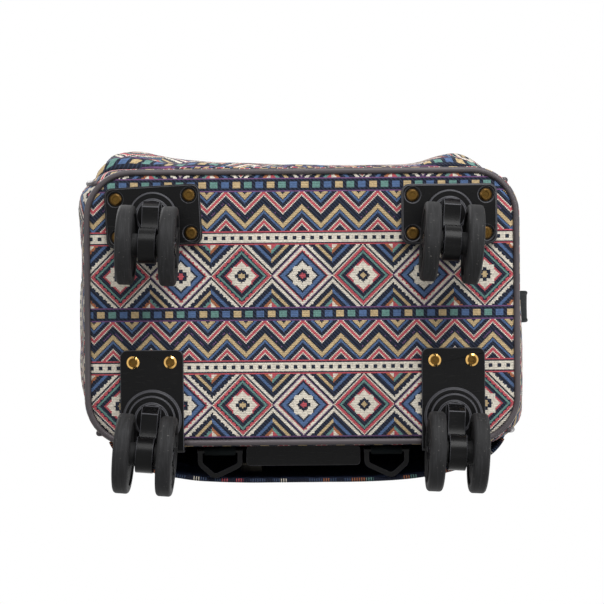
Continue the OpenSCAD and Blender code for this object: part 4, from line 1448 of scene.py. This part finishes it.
@dataclass
class Zips:
    """Main zip over the gusset and pocket zip on the front."""

    chain: ZipChain
    stitch: Stitching
    form: BodyForm = FORM
    start: float = 0.25
    pocket_half: float = 115.5
    front: float = -100.1
    seam: float = 2.0

    def main_line(self, lift: float, shift: float = 0.0) -> np.ndarray:
        """Line of the main zip.

        Args:
            lift: How far off the cloth.
            shift: How far towards the back.

        Returns:
            Points in millimetres.
        """
        f = self.form
        line = f.outline(0.0)
        line = line[line[:, 1] >= f.wall_z + (f.shoulder - f.wall_z) * self.start]
        along = np.gradient(line, axis=0)
        normal = np.stack([-along[:, 1], along[:, 0]], -1)
        x, z = (line + lift * normal / np.linalg.norm(normal, axis=1, keepdims=True)).T
        return np.column_stack([x, np.full(len(x), f.zip_y + shift), z])

    def pocket_line(self, lift: float, shift: float = 0.0) -> np.ndarray:
        """Line of the pocket zip.

        Args:
            lift: How far off the cloth.
            shift: How far up.

        Returns:
            Points in millimetres.
        """
        x = np.linspace(-self.pocket_half, self.pocket_half, 60)
        return np.column_stack([x, np.full_like(x, self.front - lift),
                                np.full_like(x, self.form.pocket_zip_z + shift)])

    def lay(self, name: str, line: Callable[..., np.ndarray], across: Sequence[int],
            lifts: Triple, turn: int) -> None:
        """Lays one zip.

        Args:
            name: The zip's name.
            line: Gives its line from a lift and a shift.
            across: Direction from one tape to the other.
            lifts: Lifts of the tapes, the chain and the stitches.
            turn: 1 or -1, which way the tapes' outline runs.
        """
        h = self.form.tape / 2
        lip = [(h, 0.0), (h, 0.7), (4.2, 0.8), (3.6, 1.3), (2.2, 1.2), (1.8, 0.5)]
        outline = np.array([(-a, b) for a, b in lip] + lip[::-1])
        tape = sweep_piece(f"{name}_tape", line(lifts[0]), outline * [turn, 1], across)
        dress(tape, FINISH.tape, "bag", [f"{name}_zip"])
        self.chain.close_zip(f"{name}_chain", line(lifts[1]), across)
        rows = [line(lifts[2], s * (h - self.seam)) for s in (-1, 1)]
        self.stitch.sew(f"{name}_zip_stitches", rows)

    def build(self) -> None:
        """Builds both zips."""
        self.lay("main", self.main_line, (0, 1, 0), (0.1, 1.35, 0.95), -1)
        self.lay("pocket", self.pocket_line, (0, 0, 1), (0.0, 1.25, 0.85), 1)


@dataclass
class StrapSleeve:
    """Sleeve on the back that hides the straps, open at the bottom."""

    stitch: Stitching
    form: BodyForm = FORM
    half: float = 146.5
    back: float = 100.3
    low: float = 80.1
    high: float = 424.1
    top_depth: float = 19.0
    thick: float = 1.4
    fade: float = 5.0
    mouth_hold: float = 0.85
    mouth_rows: float = 6.0
    end_thick: float = 0.8
    hem_r: float = 1.5
    hem_share: float = 0.985
    hem_seam: float = 11.0
    tube_half: float = 9.0
    tube_room: tuple[float, float] = (9.6, 6.1)
    depth: float = field(init=False)
    tubes: tuple[float, float] = field(init=False)

    def __post_init__(self) -> None:
        """Takes the mouth's depth and the tubes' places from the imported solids."""
        self.depth = extent("strap_sleeve")[1][1] - self.back
        low, high = extent("outer_tubes")
        self.tubes = (high[0] - self.tube_half, (low[1] + high[1]) / 2)

    def out(self, x: np.ndarray, z: np.ndarray | float) -> np.ndarray:
        """How far back the sleeve's outside stands."""
        amp = self.depth + (self.top_depth - self.depth) * (z - self.low) / (self.high - self.low)
        return self.back + amp * (1 - np.abs(x / self.half) ** 4)

    def place(self, x: np.ndarray, z: np.ndarray, lift: float = 0.0) -> np.ndarray:
        """Places on the sleeve, which is sewn to the body's drawn-in corners.

        Args:
            x: Distance across.
            z: Height.
            lift: How far outside the sleeve's face.

        Returns:
            Points in millimetres.
        """
        seat = np.stack([x, np.full_like(x, self.back), z], -1)
        near = (np.abs(x / self.half) ** 4)[..., None]
        place = seat + (self.form.drawn(seat) - seat) * near
        place[..., 1] += self.out(x, z) - self.back + lift
        return place

    def build(self) -> None:
        """Builds the sleeve, its hem and its gathered top."""
        zz, xx = np.meshgrid(np.linspace(self.low, self.high, 70), eased(91) * self.half, indexing="ij")
        grid = self.place(xx, zz)
        r, _ = np.indices(xx.shape)
        mouth = self.mouth_hold * (1 - smooth_step(r / self.mouth_rows))
        held = np.maximum(sewn(xx.shape, self.fade, open_foot=True), mouth)
        grid[..., 1] += 0.9 * ripple(grid, size=60, seed=4.4) * (1 - held)
        piece = grid_piece("sleeve_cloth", grid, np.stack([-xx * 1.05, zz], -1) * MM, flip=True)
        Settle(pressure=0.6, slack=0.012, cap=2.5).run(piece, held)
        thicken(piece, self.thick, lining=1)
        dress(piece, [FINISH.cloth, FINISH.lining], "bag", ["strap_sleeve"])
        self.hem()
        self.top()

    def hem(self) -> None:
        """Builds the folded hem at the sleeve's mouth and its stitches."""
        x = self.half * self.hem_share * eased(120)
        line = self.place(x, np.full_like(x, self.low + 0.4), -0.8)
        swell = 1 + 0.12 * ripple(line, size=16, seed=8.8)
        piece = sweep_piece("sleeve_hem", line, circle(self.hem_r, 10), (0, 0, 1), swell=swell)
        dress(piece, FINISH.binding, "bag")
        seam = self.place(x, np.full_like(x, self.low + self.hem_seam), 0.25)
        self.stitch.sew("hem_stitches", [seam[4:-4]], pitch=3.0)

    def clear_of_tubes(self, place: np.ndarray) -> bool:
        """Says whether a place lies outside the holes for the trolley tubes."""
        off = np.abs([abs(place[0]) - self.tubes[0], place[1] - self.tubes[1]])
        return bool((off > self.tube_room).any())

    def top(self) -> None:
        """Builds the gathered end round the trolley tubes."""
        s, x = np.meshgrid(np.linspace(0, 1, 20), self.half * eased(181), indexing="ij")
        y = self.back + (self.out(x, self.high) - self.back) * s
        z = self.high + 0.3 + 1.1 * np.sin(s * np.pi) * (0.5 + 0.5 * np.sin(x / 5.5))
        piece = grid_piece("sleeve_end", np.stack([x, y, z], -1), np.stack([x, y], -1) * MM,
                           keep=self.clear_of_tubes)
        thicken(piece, self.end_thick)
        dress(piece, FINISH.cloth, "bag", ["sleeve_top"])


@dataclass
class Handles:
    """Carry handles of webbing with rolled edges."""

    stitch: Stitching
    form: BodyForm = FORM
    width: float = 26.0
    thick: float = 3.6
    foot: float = 22.0
    waist: float = 0.62
    box_in: float = 6.0
    box_end: float = 3.0
    haul: tuple[float, float] = (168.0, 24.0)
    side: tuple[float, float] = (160.0, 19.0)

    def profile(self) -> np.ndarray:
        """Outline of the strap, thicker at its rolled edges."""
        w, t = self.width / 2, self.thick / 2
        a = np.linspace(-np.pi / 2, np.pi / 2, 7)
        right = np.stack([w - t + t * np.cos(a), t * np.sin(a)], -1)
        dip = t * self.waist
        waist = np.array([[w - 2 * t, dip], [0, t * 0.55], [-w + 2 * t, dip]])
        return np.concatenate([right, waist, right[::-1] * [-1, 1], waist[::-1] * [1, -1]])

    def haul_place(self, s: np.ndarray, across: np.ndarray, lift: np.ndarray) -> np.ndarray:
        """Places of the haul handle from the way along it, across it and off the cloth."""
        f = self.form
        return np.stack(np.broadcast_arrays(s, f.haul_y + across, f.top + lift), -1)

    def side_place(self, s: np.ndarray, across: np.ndarray, lift: np.ndarray) -> np.ndarray:
        """Places of the side handle from the way along it, across it and off the cloth."""
        f, z = self.form, self.form.side_z + s
        return np.stack(np.broadcast_arrays(f.lean(z) + lift, f.side_y + across, z), -1)

    def strap(self, name: str, place: Callable[..., np.ndarray], length: float, rise: float) -> None:
        """Builds one handle, with a crossed box sewn through each foot.

        Args:
            name: Which handle.
            place: Gives its places.
            length: Its length on the cloth.
            rise: How far its middle stands off.
        """
        run, mid = length / 2 - self.foot, 0.1 + self.thick / 2
        s = np.linspace(-length / 2, length / 2, 90)
        arch = rise * (1 + np.cos(np.pi * np.clip(s / run, -1, 1))) / 2
        path = place(s, 0.0, mid + np.where(np.abs(s) >= run, 0.0, arch))
        piece = sweep_piece(f"{name}_strap", path, self.profile(), (0, 1, 0))
        dress(piece, FINISH.webbing, "bag", [f"{name}_handle"])
        rows, w = [], self.width / 2 - self.box_in
        for e in (-1, 1):
            near, far = e * (length / 2 - self.box_end), e * (run + self.box_end)
            for mark in ([(near, -w), (far, -w), (far, w), (near, w), (near, -w), (far, w)],
                         [(far, -w), (near, w)]):
                ends = place(*np.array(mark).T, mid + self.thick / 2 * self.waist + 0.1)
                rows.append(np.concatenate([a + (b - a) * np.linspace(0, 1, 8)[:, None]
                                            for a, b in zip(ends[:-1], ends[1:])]))
        self.stitch.sew(f"{name}_stitches", rows, pitch=2.6)

    def build(self) -> None:
        """Builds the haul handle and the side handle."""
        self.strap("haul", self.haul_place, *self.haul)
        self.strap("side", self.side_place, *self.side)


@dataclass
class StowedStraps:
    """Padded shoulder straps, ring loops and a loose strap end inside the sleeve."""

    stitch: Stitching
    end_r: float = 16.0
    loop_r: float = 2.5
    loop_half: float = 0.55
    bar: float = 3.2
    flap: tuple[float, float] = (30.0, 2.0)
    seams: tuple[float, float] = (9.0, 24.0)
    tail_half: float = 0.7
    sag: float = 7.5
    sag_from: float = 0.55
    pad_grid: tuple[int, int] = (61, 19)

    def pad(self, side: str) -> None:
        """Builds one padded strap, crowned and pulled in at its edge seam.

        Args:
            side: Which strap.
        """
        node = f"shoulder_strap_{side}"
        low, high = extent(node)
        mid, half = (low + high) / 2, (high - low) / 2
        v, u = np.meshgrid(*(np.linspace(-1, 1, n) for n in self.pad_grid), indexing="ij")
        r = self.end_r / half[2]
        end = np.clip((np.abs(v) - 1 + r) / r, 0, 1)
        x = mid[0] + (half[0] - self.end_r * (1 - np.sqrt(np.maximum(0, 1 - end ** 2)))) * u
        z = mid[2] + half[2] * v
        crown = np.sqrt(np.maximum(0, (1 - u ** 4) * (1 - np.abs(v) ** 20)))
        quilt = 1 - 0.25 * hump((np.abs(u) - 0.55) / 0.06)
        heights = (half[1] * crown * quilt, -half[1] * np.minimum(1, crown * 1.2))
        points = np.concatenate([np.stack([x, mid[1] + h, z], -1).reshape(-1, 3) for h in heights])
        front = quads(*self.pad_grid)
        back = [[k + u.size for k in face[::-1]] for face in front]
        piece = mesh_piece(f"strap_pad_{side}", points, front + back, points[:, [0, 2]] * MM)
        with edited(piece.data) as work:
            bmesh.ops.remove_doubles(work, verts=work.verts, dist=1e-6)
            bmesh.ops.recalc_face_normals(work, faces=work.faces)
        dress(piece, FINISH.pad, "bag", [node])

    def loops(self) -> None:
        """Builds the webbing folded round each ring's bar."""
        low, high = extent("ring_loops")
        ring = extent("strap_ring_right")
        middle = (ring[0][0] + ring[1][0]) / 2
        wide = high[0] - middle
        y, z = low[1] + self.bar, low[2] + self.bar
        a = np.radians(np.linspace(-180, 150, 30))
        flat = np.array([[low[1] + 0.7, z + k] for k in np.linspace(*self.flap, 12)])
        bend = np.stack([y + self.loop_r * np.cos(a), z + self.loop_r * np.sin(a)], -1)
        line = np.concatenate([flat, bend])
        for side, x in zip(SIDES, (-middle, middle)):
            path = np.column_stack([np.full(len(line), x), line])
            piece = sweep_piece(f"ring_loop_{side}", path, strip(wide, self.loop_half), (1, 0, 0))
            dress(piece, FINISH.webbing, "bag", ["ring_loops"])
            rows = [np.array([[x + e * (wide - 2), low[1] + 1.45, z + k] for e in (-1, 1)])
                    for k in self.seams]
            self.stitch.sew(f"loop_stitches_{side}", rows, pitch=2.4)

    def tail(self) -> None:
        """Builds the loose webbing end."""
        low, high = extent("strap_tail")
        x, wide = (low[0] + high[0]) / 2, (high[0] - low[0]) / 2
        t = np.linspace(0, 1, 30)
        z = high[2] + (low[2] + 0.6 - high[2]) * t
        y = high[1] - 0.9 - t - self.sag * smooth_step((t - self.sag_from) / (1 - self.sag_from))
        path = np.column_stack([np.full_like(z, x), y, z])
        piece = sweep_piece("strap_end", path, strip(wide, self.tail_half), (1, 0, 0))
        dress(piece, FINISH.tail, "bag", ["strap_tail"])

    def build(self) -> None:
        """Builds everything that lies in the sleeve."""
        for side in SIDES:
            self.pad(side)
        self.loops()
        self.tail()


@dataclass
class Hardware:
    """Rigid parts: smoothed copies of the solids with softened edges and their finishes, with a lighter
    plastic on moulded bevels and chamfers as a painted highlight.
    """

    soften: float = 0.7
    crisp: float = 0.5
    fine: float = 0.25
    board_edge: float = 0.3
    # chamfer_area and slant pick the narrow faces sloped near 45 degrees that take the painted edge
    # highlight.
    chamfer_area: float = 8.0
    weld: float = 2e-6
    coplanar: float = math.radians(0.5)
    sharp: float = math.radians(32)
    bevelled: float = math.radians(40)
    level: float = 0.97
    slant: float = 0.06

    def copy(self, node: str, finish: Finish, slot: str, bevel: float = 0.0) -> bpy.types.Object:
        """Makes a smooth copy of a solid that stands for it.

        Args:
            node: The solid.
            finish: Its finish.
            slot: Not used.
            bevel: Width of the softened edges.

        Returns:
            The copy.
        """
        source = frame["nodes"][node]
        moulded = finish is FINISH.plastic
        mesh = source.data.copy()
        mesh.name = node + "_part"
        with edited(mesh) as work:
            bmesh.ops.remove_doubles(work, verts=work.verts, dist=self.weld)
            bmesh.ops.dissolve_limit(work, angle_limit=self.coplanar, verts=work.verts, edges=work.edges)
        if mesh.has_custom_normals:
            mesh.attributes.remove(mesh.attributes["custom_normal"])
        mesh.shade_smooth()
        mesh.set_sharp_from_angle(angle=self.sharp)
        piece = show(node + "_part", mesh)
        if bevel:
            # The bevel's faces on moulded parts take the second, lighter plastic: a painted highlight.
            add_modifier(piece, "BEVEL", width=bevel * MM, segments=2, limit_method="ANGLE",
                         angle_limit=self.bevelled, harden_normals=True, material=int(moulded),
                         use_clamp_overlap=bevel != self.crisp)
        # Narrow chamfer faces sloped near 45 degrees also take the lighter plastic, as a painted
        # highlight.
        for face in mesh.polygons if moulded else ():
            narrow = face.area < self.chamfer_area * MM ** 2
            face.material_index = int(narrow and abs(abs(face.normal.z) - math.sqrt(0.5)) < self.slant)
        finishes = [finish, FINISH.edge] if moulded else finish
        return dress(piece, finishes, source["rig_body"], [node])

    def rivets(self, node: str, rim: Finish) -> None:
        """Dresses rivets, with a darker flat middle on each head as a painted reflection.

        Args:
            node: The solid.
            rim: Finish of the heads' rims.
        """
        piece = self.copy(node, rim, "brass")
        piece.data.materials.append(FINISH.dark_brass.material())
        for face in piece.data.polygons:
            # Flat faces along the rivet's axis take the darker brass: a painted reflection of dark
            # surroundings.
            if max(abs(face.normal.z), abs(face.normal.y)) > self.level:
                face.material_index = 1

    def build(self) -> None:
        """Dresses every rigid solid."""
        spots = [f"{end}_{side}" for end in ("front", "rear") for side in SIDES]
        mounts = [f"{kind}_{side}" for kind in ("front_plate", "rear_bracket") for side in SIDES]
        trolley = [f"trolley_{kind}" for kind in ("foot", "bracket", "grip")]
        rings = [f"strap_ring_{side}" for side in SIDES]
        for node in mounts + trolley + rings + [f"fork_{spot}" for spot in spots]:
            crisp = node.startswith(("fork", "rear"))
            self.copy(node, FINISH.plastic, "plastic", self.crisp if crisp else self.soften)
        for spot in spots:
            self.copy(f"axle_{spot}", FINISH.axle, "steel")
            for tag in "lr":
                self.copy(f"wheel_{spot}_{tag}", FINISH.tread, "tyre")
        self.rivets("front_rivets", FINISH.dull_brass)
        self.rivets("rear_rivets", FINISH.brass)
        for node in ("king_pins", "lock_rods"):
            self.copy(node, FINISH.steel, "steel")
        for node in ("outer_tubes", "middle_tubes", "inner_tubes"):
            self.copy(node, FINISH.alloy, "tube")
        self.copy("trolley_button", FINISH.button, "button", self.soften)
        metal = [f"main_{kind}_{side}" for kind in ("slider", "pull") for side in SIDES]
        for node in metal + ["pocket_slider", "pocket_pull"]:
            self.copy(node, FINISH.nickel, "zip_metal", self.fine)
        for node in ("base_board", "back_board"):
            self.copy(node, FINISH.board, "board", self.board_edge)


@dataclass(frozen=True)
class Lamp:
    """A soft square lamp: its name, place, aim, length of side and power in watts."""

    name: str
    place: Triple
    aim: Triple
    size: float
    power: float

    def hang(self) -> None:
        """Hangs the lamp, unseen by the camera."""
        data = bpy.data.lights.new(self.name, "AREA")
        data.shape, data.size, data.energy = "SQUARE", self.size, self.power
        lamp = show(self.name, data)
        lamp.location = self.place
        lamp.rotation_euler = (Vector(self.aim) - Vector(self.place)).to_track_quat("-Z", "Y").to_euler()
        lamp.visible_camera = False


@dataclass
class Studio:
    """Camera under the base, soft lamps, a pale floor and a white surround."""

    lens: float = 100.0
    sensor: float = 36.0
    clip: tuple[float, float] = (0.05, 50.0)
    distance: float = 1.193
    base_z: float = 0.0661
    shift_y: float = -0.0033
    roll: float = math.radians(0.5)
    floor: float = 4.0
    paper: Colour = (0.86, 0.86, 0.85)
    ambient: float = 0.22
    lamps: tuple[Lamp, ...] = (
        Lamp("key_below", (0.35, -1.5, -0.9), (0, 0, 0.1), 1.2, 36),
        Lamp("rim_left", (-1.1, -0.5, -0.8), (0, 0, 0.05), 0.25, 3),
        Lamp("rim_right", (1.1, -0.4, -0.8), (0, 0, 0.05), 0.25, 3),
        Lamp("fill_below", (0.9, 0.4, -1.3), (0, 0, 0.1), 1.2, 4.5),
        Lamp("key_above", (-1.2, -1.3, 1.7), (0, 0, 0.25), 1.2, 30),
        Lamp("fill_above", (1.5, 0.9, 1.4), (0, 0, 0.25), 1.4, 18),
    )

    def camera(self) -> None:
        """Sets the camera that looks straight up at the base."""
        data = bpy.data.cameras.new("camera")
        data.lens, data.sensor_width = self.lens, self.sensor
        data.clip_start, data.clip_end = self.clip
        eye = show("camera", data)
        eye.location = (0, self.shift_y, self.base_z - self.distance)
        eye.rotation_euler = (math.pi, 0, self.roll)
        bpy.context.scene.camera = eye

    def world(self) -> None:
        """Sets a surround that is white to the eye and lights softly."""
        world = bpy.data.worlds.new("surround")
        bpy.context.scene.world = world
        world.use_nodes = True
        work = Nodes(world.node_tree)
        rays = work.add("ShaderNodeLightPath").outputs
        seen = rays["Is Camera Ray"]
        for name in ("Is Glossy Ray", "Is Transmission Ray"):
            either = work.add("ShaderNodeMath", {"operation": "MAXIMUM"}, {0: seen, 1: rays[name]})
            seen = either.outputs[0]
        level = work.add("ShaderNodeMapRange", {}, {"Value": seen, "To Min": self.ambient, "To Max": 1.0})
        back = work.add("ShaderNodeBackground", {}, {"Color": (1, 1, 1), "Strength": level.outputs[0]})
        work.add("ShaderNodeOutputWorld", {}, {0: back.outputs[0]})

    def ground(self) -> None:
        """Lays a pale floor that shows from above and lets the view and the light from below through."""
        h = self.floor / 2 / MM
        square = np.array([[-h, -h, 0], [h, -h, 0], [h, h, 0], [-h, h, 0]])
        floor = mesh_piece("floor", square, [[0, 1, 2, 3]])
        bench = Bench("floor_paper")
        bench.set("Base Color", self.paper)
        bench.set("Roughness", 0.9)
        seen = bench.node("ShaderNodeLightPath", out="Is Camera Ray")
        back = bench.node("ShaderNodeNewGeometry", out="Backfacing")
        mixed = bench.add("ShaderNodeMixShader", {}, {
            0: seen * (1 - back), 1: bench.node("ShaderNodeBsdfTransparent"), 2: bench.shader.outputs[0]})
        bench.plug(bench.output.inputs[0], mixed.outputs[0])
        floor.data.materials.append(bench.material)

    def build(self) -> None:
        """Sets the whole studio."""
        self.camera()
        self.world()
        self.ground()
        for lamp in self.lamps:
            lamp.hang()
        bpy.context.scene.view_settings.view_transform = "Standard"


def corners(box: Any) -> list[list[float]]:
    """Turns a box of two corners into plain lists."""
    return [[float(c) for c in corner] for corner in box]


def main() -> None:
    """Builds the bag piece by piece."""
    logging.basicConfig(level=logging.INFO, format="%(message)s")
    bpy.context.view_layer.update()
    Studio().build()
    stitch = Stitching()
    chain = ZipChain()
    BasePanel().build()
    BodyShell().build()
    FrontPocket().build()
    StrapSleeve(stitch).build()
    Zips(chain, stitch).build()
    Handles(stitch).build()
    StowedStraps(stitch).build()
    Hardware().build()
    bpy.context.view_layer.update()


if __name__ == "__main__":
    main()
